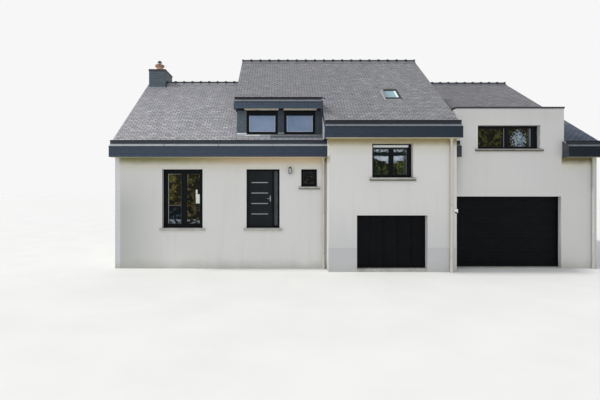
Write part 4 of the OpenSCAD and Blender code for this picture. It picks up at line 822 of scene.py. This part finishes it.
def roof_slopes():
    """The slates of the six slopes, cut out round the dormer, bay, skylight and chimney.

    A hole may reach past the edge of its area.
    """
    wall = 0.3                          # thickness of the bay's side walls
    before_dormer = (-SLATES_OUT, DORMER_Y)
    skylight = (SKY_X0 - 0.012, SKY_X1 + 0.012, SKY_Y - 0.03, SKY_Y + SKY_LEN * TALL.cos + 0.06)
    slopes = {
        "slates_left_front": [
            (MAIN, False, (LEFT_VERGE, MIDDLE_X, -SLATES_OUT, MAIN.ridge_y),
             [(TALL_WALL, 7.9, -0.3, 4.2), CHIMNEY]),
            (MAIN, False, (TALL_WALL, PALE_END, *before_dormer), (), "slates_left"),
            # lighter slates before the dormer's right part: painted light against its shade
            (MAIN, False, (PALE_END, MIDDLE_X, *before_dormer), (), "slates_skirt_painted_light")],
        "slates_left_rear": [
            (MAIN, True, (LEFT_VERGE, TALL_WALL, MAIN.ridge_y, REAR + SLATES_OUT), [CHIMNEY])],
        "slates_tall_front": [
            (TALL, False, (TALL_VERGE, TALL_END, MIDDLE_Y - SLATES_OUT, TALL.ridge_y),
             [(4.3, CHEEK_X, -1.0, DORMER_BACK), skylight])],
        "slates_tall_rear": [
            (TALL, True, (TALL_VERGE, TALL_END, TALL.ridge_y, REAR + SLATES_OUT),
             [(MIDDLE_IN, 12.5, CROSS_Y - 0.05, 8.6)])],
        "slates_wing_front": [
            (WING, False, (MIDDLE_END, RIGHT_VERGE, -SLATES_OUT, WING.ridge_y),
             [(*STUBS, -0.3, 0.0), (BAY[0], BAY[0] + wall, -0.01, BAY_TOP_Y),
              (BAY[1] - wall, BAY[1], -0.01, BAY_TOP_Y),
              (BAY[0] + 0.29, BAY[1] - 0.29, -0.01, BAY_BACK)]),
            (WING, False, (MIDDLE_IN, MIDDLE_END, CROSS_Y - 0.01, WING.ridge_y)),
            (WING, False, (WING_VERGE, MIDDLE_IN, CROSS_Y + 0.42, WING.ridge_y))],
        "slates_wing_rear": [
            (WING, True, (WING_VERGE, RIGHT_VERGE, WING.ridge_y, WING_REAR + SLATES_OUT))],
    }
    for name, parts in slopes.items():
        b = Build()
        for part in parts:
            slope_slates(b, *part)
        b.done(name, "slates")


# ---------------- ridge tiles
def ridge(b, x0, x1, roof, pitch=0.418):
    """Angular tiles in a run: grey wings, a dark crest and a raised collar over each joint."""
    y, z = roof.ridge_y, roof.top(roof.ridge_y) + 0.012
    count = max(1, round((x1 - x0) / pitch))
    step = (x1 - x0) / count
    wing, shoulder, half_collar, thick = 0.17, 0.05, 0.045, 0.014
    low = z - shoulder * roof.tan + thick

    def crest(half, foot, peak):
        return [(y - half, foot), (y - 0.6 * half, peak - 0.012), (y, peak),
                (y + 0.6 * half, peak - 0.012), (y + half, foot), (y, foot - 0.01)]

    collar = crest(0.062, z + 0.002, z + 0.108)
    for i in range(count):
        a = x0 + i * step
        e = a + step
        tone = rng.uniform(0.0, 0.3)
        for side in (-1, 1):
            tip = z - wing * roof.tan
            plate = [(y + side * shoulder, low), (y + side * wing, tip + thick),
                     (y + side * wing, tip), (y + side * shoulder, low - thick)]
            b.prism(plate, a + 0.003, e - 0.003, roof.look, tone)
        b.prism(crest(shoulder, low, z + 0.035), a + 0.002, e - 0.002, roof.look, tone)
        b.prism(crest(0.036, z + 0.014, z + 0.08), a, e, "ridge_dark", tone)
        b.prism(collar, max(x0, e - half_collar), min(x1, e + half_collar), "ridge_dark", tone)
    b.prism(collar, x0, x0 + half_collar, "ridge_dark")


def ridges():
    b = Build()
    ridge(b, CHIMNEY[1], TALL_VERGE, MAIN)
    ridge(b, TALL_VERGE, TALL_END, TALL)
    ridge(b, WING_VERGE, RIGHT_VERGE, WING)
    b.done("ridge_tile_runs", "ridge_clay", replaces=["ridge_tiles"])


# ---------------- eaves
# x0, x1, wall face y, top of the fascia, roof, outward sign, look, looks of the ends' slates
EAVES = [
    (LEFT_VERGE, MIDDLE_X, 0.0, EAVE_Z, MAIN, -1, "clad_slates", (None, None)),
    (MIDDLE_END, STUBS[0], 0.0, EAVE_Z, WING, -1, "dark_end", (None, "dark_end")),
    (STUBS[1], RIGHT_VERGE, 0.0, EAVE_Z, WING, -1, "clad_slates", ("end_slates", None)),
    (CHEEK_X, TALL_END, MIDDLE_Y, MIDDLE_EAVE_Z, MAIN, -1, "clad_slates",
     ("clad_slates", "clad_slates")),
    (DORMER_X0, CHEEK_X - 0.04, DORMER_Y, DORMER_EAVE_Z, MAIN, -1, "clad_dormer", (None, None)),
    (LEFT_VERGE, TALL_WALL, REAR, EAVE_Z, MAIN, 1, "clad_slates", (None, "clad_slates")),
    (TALL_VERGE, MIDDLE_IN, REAR, TALL_REAR_Z, MAIN, 1, "clad_slates", ("clad_slates", None)),
    (WING_VERGE, RIGHT_VERGE, WING_REAR, EAVE_Z, WING, 1, "clad_slates", ("clad_slates", None)),
]


def gutter_sheets(b, x0, x1, face, ze, tan, sign, up):
    """Dark sheet on the upstand with its rolled edge, the drip in black as a painted shadow line,
    and seams and clips of the strip.
    """
    sloping = 0.12                      # depth of the pale strip before the upstand
    foot, z0 = face - sign * sloping, ze + sloping * tan
    b.box(x0 + 0.002, x1 - 0.002, foot + sign * 0.003, foot - sign * 0.001, z0 + 0.004,
          z0 + up - 0.004, "upstand_zinc")
    b.prism(circle(foot + sign * 0.004, z0 + up - 0.012, 0.018, 10), x0, x1, "edge_zinc_and_shade")
    # the drip, coloured black as a painted shadow line under the strip's lip
    b.box(x0, x1, face + sign * 0.0145, face + sign * 0.006, ze - 0.032, ze - 0.004, "edge_zinc_and_shade")
    sheet, clip_step = 1.95, 0.6
    sheets = max(1, round((x1 - x0) / sheet))
    nose = face + sign * 0.013
    seam = [(nose, ze), (foot, z0 + 0.002), (foot, z0 + 0.010), (nose, ze + 0.008)]
    for i in range(1, sheets):
        x = x0 + i * (x1 - x0) / sheets
        b.prism(seam, x - 0.012, x + 0.012, "grey_zinc")
        b.box(x - 0.010, x + 0.010, foot + sign * 0.005, foot - sign * 0.003, z0 + 0.004,
              z0 + up, "dark_zinc")
    outer, inner = foot + sign * 0.008, foot - sign * 0.028
    clip = [(outer, z0 + up - 0.03), (inner, z0 + up - 0.03), (inner, z0 + up + 0.007),
            (outer, z0 + up + 0.007)]
    for i in range(int((x1 - x0) / clip_step)):
        x = x0 + (i + 0.5) * clip_step
        b.prism(clip, x - 0.012, x + 0.012, "dark_zinc")


def eaves():
    """Slates on the fascias and their ends, and the sheet metal of the gutters."""
    clad, lining = Build(), Build()
    for x0, x1, wall, ze, roof, sign, look, ends in EAVES:
        dormer = look == "clad_dormer"
        high = DORMER_FASCIA_H if dormer else FASCIA_H
        face = wall + sign * EAVE
        courses(clad, Vector((0, face, ze - high)), X, Z, sign * Y, (x0, x1, 0.0, high - 0.02),
                look, 0.3, 0.125, 0.008, 0.1)
        for x, end, way in ((x0, ends[0], -1), (x1, ends[1], 1)):
            # the board's end is deep in its lower part, and only a narrow strip stands over it
            for start, z0, z1, wide in ((0.0, 0.0, 0.245, 0.18), (0.21, 0.245, high - 0.025, 0.16)):
                if end:
                    courses(clad, Vector((x, wall, ze - high)), sign * Y, Z, way * X,
                            (start, EAVE, z0, z1), end, wide, 0.12, 0.007, 0.1)
        gutter_sheets(lining, x0, x1, face, ze, roof.tan, sign,
                      DORMER_UPSTAND if dormer else UPSTAND)
    clad.done("fascia_slates", "dark_slates")
    lining.done("gutter_lining", "zinc")


# ---------------- slate-clad upright faces
def clad_dormer(b):
    """Slates on the dormer's piers and on the low strip under its sill."""
    (left, inner_left), (inner_right, right) = DORMER_LIGHTS
    # foot, height, and the slates' width, gauge, lift and spread of tones
    pier = (DORMER_SILL + 0.01, 0.87, (0.18, 0.125, 0.007, 0.15))
    skirt = (4.83, 0.14, (0.22, 0.07, 0.007, 0.12))
    # the skirt's left part takes the lighter copy of the slates, painted light
    for x0, x1, (foot, high, sizes), look in (
            (TALL_WALL, left, pier, "pier_slates"), (inner_left, inner_right, pier, "dim_piers"),
            (right, MIDDLE_X, pier, "dim_piers"), (TALL_WALL, DULL_END, skirt, "slates_skirt_painted_light"),
            # the skirt's right part takes the darker copy, a painted shadow of the sill
            (DULL_END, MIDDLE_X, skirt, "skirt_painted_shadow")):
        courses(b, Vector((0, DORMER_Y, foot)), X, Z, -Y, (x0, x1, 0.0, high), look, *sizes)


def clad_west(b):
    """Slates on the wall under the tall roof's left end, row by row up to the ridge."""
    row, top, lap = 0.125, 8.62, 0.08
    ridge_z = 7.9                       # top of the left roof's ridge tiles
    z = 4.86
    while z < top:
        mid = z + row / 2
        y_roof, y_left = TALL.front_y(mid + SLAB), MAIN.front_y(mid)
        rear_end = 2 * TALL.ridge_y - y_roof
        spans = [(y_roof, rear_end)]
        if mid < ridge_z:
            # under the left roof's ridge the wall shows before and behind the roof. The rear span
            # ends at the wall's face: the fascia's end has its own slates
            spans = [(max(DORMER_Y, y_roof), y_left + lap),
                     (REAR - y_left - lap, min(REAR, rear_end))]
        for a, e in spans:
            if e - a > 0.05:
                courses(b, Vector((TALL_WALL, 0, z)), Y, Z, -X, (a, e, 0.0, row), "pier_slates",
                        0.2, row, 0.006, 0.15)
        z += row


def clad_chimney(b):
    """Slates on the four sides of the stack."""
    x0, x1, y0, y1 = CHIMNEY
    foot = 7.62
    for o, u, n, a, e in (((0, y0, foot), X, -Y, x0, x1), ((0, y1, foot), X, Y, x0, x1),
                          ((x0, 0, foot), Y, -X, y0, y1), ((x1, 0, foot), Y, X, y0, y1)):
        courses(b, Vector(o), u, Z, n, (a, e, 0.0, CHIMNEY_TOP - CAP_H - foot), "pier_slates",
                0.19, 0.125, 0.007, 0.15)


def clad_faces():
    b = Build()
    clad_dormer(b)
    clad_west(b)
    clad_chimney(b)
    b.done("clad_faces", "dark_slates")


def cheek():
    """Slates on the side of the middle eaves, over the left roof."""
    b = Build()
    row, top, lap = 0.11, 5.60, 0.06
    # it ends at the left roof up to low_z, and starts at the tall roof's underside over high_z
    low_z, high_z = 4.83, 5.12
    z = MIDDLE_SOFFIT_Z + 0.002
    while z < top:
        mid = z + row / 2
        lo = MIDDLE_Y if mid < high_z else TALL.front_y(mid + SLAB)
        hi = MAIN.front_y(mid) + lap if mid < low_z else DORMER_Y
        if hi - lo > 0.05:
            # the lighter copy of the slates, painted light
            courses(b, Vector((CHEEK_X, 0, z)), Y, Z, -X, (lo, hi, 0.0, row), "slates_skirt_painted_light",
                    0.2, row, 0.006)
        z += row
    b.done("cheek_slates", "slates")


# ---------------- chimney pot and flashings
def clay_pot():
    """A turned clay pot with a pale flue, and a small hood on three stays."""
    x, y, r = (POT[0] + POT[1]) / 2, (POT[2] + POT[3]) / 2, (POT[1] - POT[0]) / 2
    foot, tip, rim = POT[4], POT[5], POT_RIM
    b = Build()
    b.turned(x, y, [(0.11, foot), (0.18, foot), (0.16, foot + 0.04), (0.152, rim - 0.12),
                    (0.175, rim - 0.105), (r - 0.008, rim - 0.08), (r, rim - 0.07),
                    (r, rim - 0.015), (r - 0.01, rim), (0.13, rim), (0.12, rim - 0.05)],
             "fired_clay")
    b.turned(x, y, [(0.055, rim - 0.09), (0.068, rim - 0.09), (0.068, tip - 0.09),
                    (0.055, tip - 0.09)], "pale_zinc")
    b.turned(x, y, [(0.001, tip - 0.085), (0.104, tip - 0.104), (0.108, tip - 0.088),
                    (0.03, tip - 0.004), (0.001, tip)], "roof_metal")
    for px, py in circle(x, y, 0.071, 3, 0.4):
        b.post(px, py, 0.006, rim - 0.05, tip - 0.09, "roof_metal")
    b.done("clay_pot", "terracotta", replaces=["chimney_pot"])


def flashings():
    """Sheets on the slopes round the chimney, dormer and bay, and the dormer's folded parts."""
    b = Build()
    x0, x1, y0, y1 = CHIMNEY
    up_ridge = MAIN.ridge_y - 0.03
    for roof, a, e, near, far, lift, look in (
            (MAIN, x0 - 0.02, x1 + 0.05, y0 - 0.09, y0, 0.013, "grey_zinc"),
            (MAIN, x1, x1 + 0.05, y0 - 0.05, up_ridge, 0.014, "dark_zinc"),
            (MAIN, TALL_WALL - 0.04, TALL_WALL, -0.1, up_ridge, 0.013, "grey_zinc"),
            (WING, BAY[1], BAY[1] + 0.04, 0.0, BAY_TOP_Y + 0.1, 0.013, "grey_zinc"),
            (WING, BAY[0] - 0.04, BAY[0], 0.0, BAY_TOP_Y + 0.1, 0.013, "grey_zinc"),
            (WING, *BAY, BAY_BACK - 0.02, BAY_TOP_Y + 0.16, 0.014, "grey_zinc")):
        z0, z1 = roof.top(near) + lift, roof.top(far) + lift
        b.prism([(near, z0), (far, z1), (far, z1 + 0.003), (near, z0 + 0.003)], a, e, look)
    b.box(x0 - 0.02, x1 + 0.02, y0 - 0.02, y1 + 0.02, CHIMNEY_TOP - CAP_H, CHIMNEY_TOP + 0.004,
          "roof_metal", 0.006)
    # dormer: the sill sheet over a dark gap, and the sheets at the feet of two piers
    for a, e, look in ((4.80, PALE_END, "white_zinc"), (PALE_END, DULL_END, "pale_zinc"),
                       (DULL_END, 7.49, "grey_zinc")):
        b.prism([(0.078, 4.912), (0.090, 4.912), (0.090, 4.956), (0.078, 4.960)], a, e, look)
        b.prism([(0.082, 4.957), (0.145, 4.962), (0.145, 4.988), (0.082, 4.984)], a, e,
                "black_rubber")
    b.prism([(0.074, 4.968), (0.074, 5.020), (0.105, 5.020), (0.105, 4.968)], TALL_WALL, 4.855,
            "white_zinc")
    b.prism([(0.082, 4.975), (0.082, 5.04), (0.105, 5.04), (0.105, 4.975)], 6.03, 6.255,
            "grey_zinc")
    # the folded end of the dormer's upstand, which stands out to the right
    b.prism([(7.60, 6.312), (7.63, 6.312), (7.77, 6.262), (7.77, 6.236), (7.63, 6.272),
             (7.60, 6.272)], -0.136, -0.126, "edge_zinc_and_shade", axis="y")
    # dark strips on the dormer's soffit over its piers: painted shade
    soffit, under = DORMER_HEAD - 0.0005, DORMER_HEAD - 0.008
    for a, e in ((4.46, 4.80), (6.05, 6.24), (7.46, 7.62)):
        b.prism([(a, soffit), (a + 0.02, under), (e - 0.02, under), (e, soffit)], -0.235, 0.085,
                "edge_zinc_and_shade", axis="y")
    b.done("flashings", "zinc")


# ---------------- windows
FRAME_W, POST_W = 0.09, 0.15            # width of a frame's members and of the meeting post
RECESS = 0.205                          # how far most frames stand behind the wall's face
# x0, x1, z0, z1, wall face y, depth of the frame behind it, outward sign, leaves, look
WINDOWS = [
    (6.89, 7.485, 3.035, 3.67, 0.0, 0.17, -1, 1, "glass_dark"),
    (9.37, 10.82, 3.35, 4.55, MIDDLE_Y, RECESS, -1, 2, "glass_middle"),
    (13.43, 15.75, 4.43, 5.30, 0.0, RECESS, -1, 2, "glass_bay"),
    (*DORMER_LIGHTS[0], DORMER_SILL, DORMER_HEAD, DORMER_Y, 0.04, -1, 1, "glass_pale"),
    (*DORMER_LIGHTS[1], DORMER_SILL, DORMER_HEAD, DORMER_Y, 0.04, -1, 1, "glass_pale"),
    (1.50, 2.95, 2.42, 3.67, REAR, RECESS, 1, 2, "glass_dark"),
    (5.20, 6.65, 2.42, 3.67, REAR, RECESS, 1, 2, "glass_dark"),
    (9.37, 10.82, 3.35, 4.55, REAR, RECESS, 1, 2, "glass_dark"),
    (13.32, 15.64, 3.35, 4.00, WING_REAR, RECESS, 1, 2, "glass_dark"),
]


def window(sash, panes, x0, x1, z0, z1, yf, sign, leaves, look):
    """Sashes with their beads and panes, the meeting post and the drip rail of one window."""
    pale = look == "glass_pale"
    w = (x1 - x0 - 2 * FRAME_W - (leaves - 1) * POST_W) / leaves
    glass_y = yf - sign * 0.023
    for i in range(leaves):
        a = x0 + FRAME_W + i * (w + POST_W)
        light = (a, a + w, z0 + FRAME_W, z1 - FRAME_W)
        sash.ring(grown(light, 0.052), light, yf + sign * 0.014, yf - sign * 0.02, "anthracite",
                  0.006)
        sash.ring(grown(light, -0.006), grown(light, -0.034 if pale else -0.016),
                  glass_y + sign * 0.010, glass_y + sign * 0.002,
                  "bright_bead" if pale else "black_rubber", 0.002)
        panes.box(light[0], light[1], glass_y, glass_y - sign * 0.024, light[2], light[3], look)
        if pale:
            # the roller blind's box under the head
            sash.box(a - 0.04, a + w + 0.04, yf - 0.018, yf + 0.02, z1 - 0.19, z1 - 0.05,
                     "anthracite", 0.004)
    if leaves == 2:
        sash.box((x0 + x1) / 2 - 0.028, (x0 + x1) / 2 + 0.028, yf + sign * 0.022, yf, z0 + 0.03,
                 z1 - 0.03, "anthracite", 0.004)
    sash.box(x0 + 0.01, x1 - 0.01, yf + sign * 0.03, yf, z0 + 0.004, z0 + 0.03, "anthracite",
             0.003)


def tilted(b, x0, x1, l0, l1, h0, h1, look):
    """A box in the skylight's own tilt: l along the slope, h square to it."""
    c, s = TALL.cos, TALL.sin
    v = [(x, SKY_Y + l * c - h * s, TALL.top(SKY_Y) + l * s + h * c)
         for h in (h0, h1) for l in (l0, l1) for x in (x0, x1)]
    b.add(v, BOX_FACES, look)


def windows():
    """All windows, and the parts of two blinds that show."""
    sash, panes = Build(), Build()
    for x0, x1, z0, z1, wall, deep, sign, leaves, look in WINDOWS:
        window(sash, panes, x0, x1, z0, z1, wall - sign * deep, sign, leaves, look)
    mid, bay = MIDDLE_Y + RECESS, RECESS
    for row in (
            # middle window: last slat of the blind at the head, and its guide on the right
            (9.44, 10.70, mid - 0.05, mid - 0.002, 4.425, 4.505, "pale_slat", 0.01),
            (9.40, 10.78, mid - 0.03, mid - 0.002, 4.36, 4.425, "black_rubber", 0.004),
            (10.655, 10.75, mid - 0.03, mid, 3.38, 4.52, "anthracite", 0.004),
            (10.638, 10.652, mid + 0.010, mid + 0.022, 3.45, 4.36, "pale_bead", 0.003),
            # bay window: meeting rail, and the blind's guide on the right
            (14.472, 14.505, bay - 0.03, bay, 4.50, 5.21, "dim_bead", 0.006),
            (15.45, 15.53, bay + 0.004, bay + 0.016, 4.51, 5.21, "dim_bead", 0.004),
            (15.53, 15.70, bay - 0.035, bay, 4.46, 5.27, "anthracite", 0.004)):
        sash.box(*row)
    sash.done("window_sashes", "anthracite")
    # the sidelight beside the front door, and the skylight
    panes.box(5.892, 6.04, 0.223, 0.247, 1.57, 3.62, "glass_dim")
    tilted(panes, 10.2552, 10.7248, 0.0752, 0.8048, 0.02, 0.044, "glass_green")
    panes.done("window_panes", "glass", replaces=["window_glass"])


def skylight_cover():
    """Cover strips, and the flashing: pale on the left and below, a dark channel on the right."""
    b = Build()
    # x, length along the slope and height over it, each from and to
    for row in ((SKY_X0, 10.79, 0.0, 0.08, 0.0605, 0.068, "black_rubber"),
                (10.25, 10.755, 0.725, SKY_LEN, 0.0605, 0.068, "black_rubber"),
                (10.728, 10.795, 0.085, SKY_LEN, 0.0605, 0.068, "black_rubber"),
                (10.185, 10.25, 0.085, SKY_LEN, 0.0605, 0.068, "grey_zinc"),
                (10.15, 10.185, -0.02, 0.87, 0.004, 0.034, "pale_zinc"),
                (10.15, 10.81, -0.085, -0.005, 0.010, 0.020, "pale_zinc"),
                (10.798, 10.832, -0.01, 0.86, 0.006, 0.030, "black_rubber")):
        tilted(b, *row)
    b.done("skylight_cover", "roof_metal")


# ---------------- doors
def garage_doors():
    """Ribs, boards, rails and bottom seals on the two garage doors."""
    b = Build()
    metal = "garage_anthracite"
    # wide door: pressed ribs between the section joints, side rails and a bottom seal
    x0, x1, face, _, z0, z1 = house_box("wide_garage_door")
    rail, sections, ribs = 0.04, 5, 4
    section = (z1 - z0) / sections
    for k in range(sections):
        for r in range(ribs):
            zc = z0 + k * section + section * (r + 0.5) / ribs
            b.prism([(face, zc - 0.040), (face - 0.007, zc - 0.030), (face - 0.007, zc + 0.030),
                     (face, zc + 0.040)], x0 + rail, x1 - rail, metal)
    for a, e, foot in ((x0, x0 + rail, z0), (x1 - rail, x1, z0), (x0, x1, z1 - 0.06)):
        b.box(a, e, face - 0.035, face, foot, z1, metal, 0.004)
    b.box(x0 + rail, x1 - rail, face - 0.01, face, z0, z0 + 0.03, "black_rubber")
    # small door: upright boards with a raised field each, a head rail and a bottom seal
    x0, x1, face, _, z0, z1 = house_box("small_garage_door")
    boards = 5
    board = (x1 - x0) / boards
    for k in range(boards):
        a = x0 + k * board
        b.box(a + 0.03, a + board - 0.03, face - 0.007, face, z0 + 0.06, z1 - 0.07, metal, 0.004)
    b.box(x0, x1, face - 0.025, face, z1 - 0.06, z1, metal, 0.004)
    b.box(x0, x1, face - 0.01, face, z0, z0 + 0.03, "black_rubber")
    b.done("garage_door_ribs", "anthracite")


def front_door():
    """Dark joints round the steel bars and along the leaf's edge."""
    b = Build()
    x0 = 4.916                          # the leaf's hinge side
    for zc in (2.0, 2.393, 2.786, 3.179):
        bar = (x0 + 0.12, x0 + 0.74, zc - 0.014, zc + 0.014)
        b.ring(grown(bar, 0.008), bar, 0.2015, 0.205, "black_rubber")
    leaf = (x0 + 0.026, x0 + 0.862, 1.552, 3.588)
    b.ring(grown(leaf, 0.006), leaf, 0.2025, 0.205, "black_rubber")
    b.done("front_door_trim", "anthracite", body="front_door")


def french_window():
    """Mouldings of both leaves, and the handle on the right one."""
    # leaf, width of the rebate and of the bead on the left side, look of the bead
    for name, rebate, lip, bead in (("left", 0.026, 0.026, "pale_bead"),
                                    ("right", 0.036, 0.006, "black_rubber")):
        b = Build()
        x0, x1, _, _, z0, z1 = house_box("french_glass_" + name)
        light = (x0, x1, z0, z1)
        step = (x0 + rebate, x1 - 0.004, z0 + 0.004, z1 - 0.026)
        hole = (step[0] + lip, step[1] - 0.006, step[2] + 0.006, step[3] - 0.012)
        b.ring(grown(light, 0.03), light, 0.199, 0.212, "anthracite", 0.005)
        b.ring(light, step, 0.213, 0.2225, "anthracite", 0.002)
        b.ring(step, hole, 0.2205, 0.2235, bead, 0.001)
        b.ring(grown(light, 0.02), light, 0.272, 0.262, "anthracite", 0.004)
        if name == "right":
            # the handle's plate, neck and grip
            x, z = x0 - 0.043, 2.576
            for a, e, near, far, low, high, bevel in (
                    (0.016, 0.016, 0.265, 0.272, 0.08, 0.08, 0.002),
                    (0.009, 0.009, 0.272, 0.305, 0.009, 0.009, 0.002),
                    (0.010, 0.012, 0.300, 0.314, 0.115, 0.011, 0.003)):
                b.box(x - a, x + e, near, far, z - low, z + high, "brushed_steel", bevel)
        b.done("french_trim_" + name, "anthracite", body="french_" + name)


# ---------------- downpipes, lamps, small parts
def pipe_collars():
    """Sockets, brackets and the funnel of the three downpipes."""
    b = Build()
    off = 0.0675                        # the pipes' middle stands off the wall
    for x, wall, zt in ((7.71, 0.0, SOFFIT_Z), (12.15, MIDDLE_Y, MIDDLE_SOFFIT_Z),
                        (17.66, 0.0, SOFFIT_Z)):
        y = wall - off
        for z in (0.12, 1.35, 2.62, zt - 0.45):
            b.tube(x, y, z, z + 0.055, 0.054, 0.054, "pipe_paint")
            b.tube(x, y, z + 0.055, z + 0.063, 0.054, 0.0485, "pipe_paint", caps=False)
        for z in (0.56, zt / 2 + 0.01, zt - 0.56):
            b.tube(x, y, z, z + 0.022, 0.0515, 0.0515, "pale_zinc")
            b.box(x - 0.014, x + 0.014, y + 0.04, wall, z, z + 0.022, "pale_zinc")
        b.tube(x, y, zt - 0.07, zt - 0.002, 0.05, 0.078, "pipe_paint")
    b.done("pipe_collars", "cream_paint")


def lamps():
    """The lantern beside the front door, and the white lamp on the middle part's corner."""
    b = Build()
    x, y, z = 6.48, -0.095, 3.5
    metal = "roof_metal"
    b.box(x - 0.035, x + 0.035, -0.012, 0.0, z + 0.06, z + 0.20, metal, 0.003)
    b.box(x - 0.012, x + 0.012, -0.045, -0.012, z + 0.10, z + 0.13, metal, 0.003)
    for dx in (-0.05, 0.05):
        for dy in (-0.05, 0.05):
            b.post(x + dx, y + dy, 0.006, z + 0.012, z + 0.20, metal)
    b.post(x, y, 0.058, z, z + 0.014, metal, 0.003, deep=0.055)
    b.post(x, y, 0.042, z + 0.014, z + 0.198, "frosted_glass")
    roof = [(x + sx * half, y + sy * deep, z + h)
            for half, deep, h in ((0.06, 0.055, 0.2), (0.015, 0.015, 0.255))
            for sx, sy in ((-1, -1), (1, -1), (1, 1), (-1, 1))]
    b.add(roof, [(3, 2, 1, 0), (4, 5, 6, 7), (0, 1, 5, 4), (1, 2, 6, 5), (2, 3, 7, 6),
                 (3, 0, 4, 7)], metal)
    b.box(12.23, 12.40, -0.664, MIDDLE_Y, 2.09, 2.22, "white_plastic", 0.004)
    b.box(12.245, 12.385, -0.705, -0.662, 2.12, 2.225, "white_plastic", 0.012)
    b.tube(12.315, -0.69, 2.082, 2.122, 0.02, 0.034, "black_rubber")
    b.done("lamps", "lamp", replaces=["wall_lights"])


def wall_trims():
    """The plinth's upper edge, the sills' lower edges darkened by stain and by painted shade under
    them, and the folded edge of the coping.
    """
    b = Build()
    door_x0, door_x1 = house_box("small_garage_door")[:2]
    plinth, out = 0.845, MIDDLE_Y - 0.005
    edge = [(MIDDLE_Y, plinth), (out, plinth + 0.003), (out, plinth + 0.017),
            (MIDDLE_Y, plinth + 0.02)]
    for x0, x1 in ((MIDDLE_X, door_x0), (door_x1, MIDDLE_END)):
        b.prism(edge, x0, x1, "wall_render")
    sill_t, sill_out, ear = 0.095, 0.061, 0.091
    # how far the dark band reaches up from each sill's lower edge (stain), and down past it
    # (painted shade on the wall under the sill)
    stain_and_shade_reach = {"glass_bay": (0.056, 0.001), "glass_middle": (0.018, 0.03),
              "glass_dark": (0.018, 0.012)}
    for x0, x1, z0, z1, wall, _, sign, _, look in WINDOWS:
        if look in stain_and_shade_reach:
            rise, drip = stain_and_shade_reach[look]
            b.box(x0 - ear, x1 + ear, wall + sign * sill_out, wall, z0 - sill_t - drip,
                  z0 - sill_t + rise, "concrete_stain_and_shade")
            if sign < 0:
                # the frame's sill plate, bent down over the sill's upper edge
                b.box(x0 + 0.002, x1 - 0.002, wall - sill_out - 0.0015, wall - 0.03, z0 - 0.012,
                      z0 + 0.002, "anthracite")
    x0, x1, front, _, z0, z1 = house_box("bay_coping")
    low, high = z0 - 0.014, z1 + 0.020
    b.box(x0 - 0.003, x1 + 0.003, front - 0.004, front, low, high, "roof_metal")
    for x in (x0 - 0.004, x1):
        b.box(x, x + 0.004, front - 0.003, BAY_TOP_Y - 0.12, low, high, "roof_metal")
    b.done("wall_trims", "render")


for piece in (roof_slopes, ridges, eaves, clad_faces, cheek, clay_pot, flashings, windows,
              skylight_cover, garage_doors, front_door, french_window, pipe_collars, lamps,
              wall_trims):
    piece()


# ---------------- floor, light, camera
def studio_floor():
    """A plain pale floor."""
    m = Mat("studio_floor", rough=0.9, spec=0.15)
    m.base(m.spots(0.6, 4, 0.3, 0.7), (212, 212, 211), (217, 217, 216))
    half, z = 160, -0.002
    mesh = bpy.data.meshes.new("floor")
    mesh.from_pydata([(-half, -half, z), (half, -half, z), (half, half, z), (-half, half, z)],
                     [], [(0, 1, 2, 3)])
    mesh.materials.append(m.finish().m)
    floor = bpy.data.objects.new("floor", mesh)
    bpy.context.scene.collection.objects.link(floor)


def studio_world():
    """Soft light; the camera, gloss and glass see an even pale backdrop in its place."""
    world = bpy.data.worlds.new("studio")
    bpy.context.scene.world = world
    world.use_nodes = True
    nodes, link = world.node_tree.nodes, world.node_tree.links.new
    light, seen = nodes["Background"], nodes.new("ShaderNodeBackground")
    for n, colour, strength in ((light, (0.93, 0.96, 1.0, 1), 0.74), (seen, (1, 1, 1, 1), 0.93)):
        n.inputs["Color"].default_value = colour
        n.inputs["Strength"].default_value = strength
    rays = nodes.new("ShaderNodeLightPath").outputs
    is_seen = rays["Is Camera Ray"]
    for kind in ("Is Glossy Ray", "Is Transmission Ray"):
        either = nodes.new("ShaderNodeMath")
        either.operation = "MAXIMUM"
        link(is_seen, either.inputs[0])
        link(rays[kind], either.inputs[1])
        is_seen = either.outputs[0]
    mixer = nodes.new("ShaderNodeMixShader")
    for i, source in enumerate((is_seen, light.outputs[0], seen.outputs[0])):
        link(source, mixer.inputs[i])
    link(mixer.outputs[0], nodes["World Output"].inputs[0])


def sun(name, energy, soft, direction, colour):
    """A sun lamp; soft is its angle in degrees."""
    lamp = bpy.data.lights.new(name, "SUN")
    lamp.energy = energy
    lamp.angle = math.radians(soft)
    lamp.color = colour
    obj = bpy.data.objects.new(name, lamp)
    bpy.context.scene.collection.objects.link(obj)
    obj.rotation_euler = Vector(direction).to_track_quat("-Z", "Y").to_euler()


def camera():
    """The photo's view: level, 24 mm, and straight at the front."""
    cam = bpy.data.cameras.new("camera")
    cam.lens, cam.sensor_width = 24, 36
    cam.shift_x, cam.shift_y = 0.0345, -0.0167
    cam.clip_end = 500
    obj = bpy.data.objects.new("camera", cam)
    bpy.context.scene.collection.objects.link(obj)
    obj.location = (-2.845, -20.685, 2.90)
    obj.rotation_euler = (math.radians(90), 0, 0)
    bpy.context.scene.camera = obj


studio_floor()
studio_world()
# the key runs along the front, as the sun does in the photo; the fill comes from the front left
sun("key", 2.35, 8, (0.66, 0.02, -0.75), (1.0, 0.97, 0.92))
sun("fill", 0.75, 80, (0.55, 0.75, -0.36), (0.97, 0.98, 1.0))
camera()
bpy.context.scene.view_settings.view_transform = "Standard"
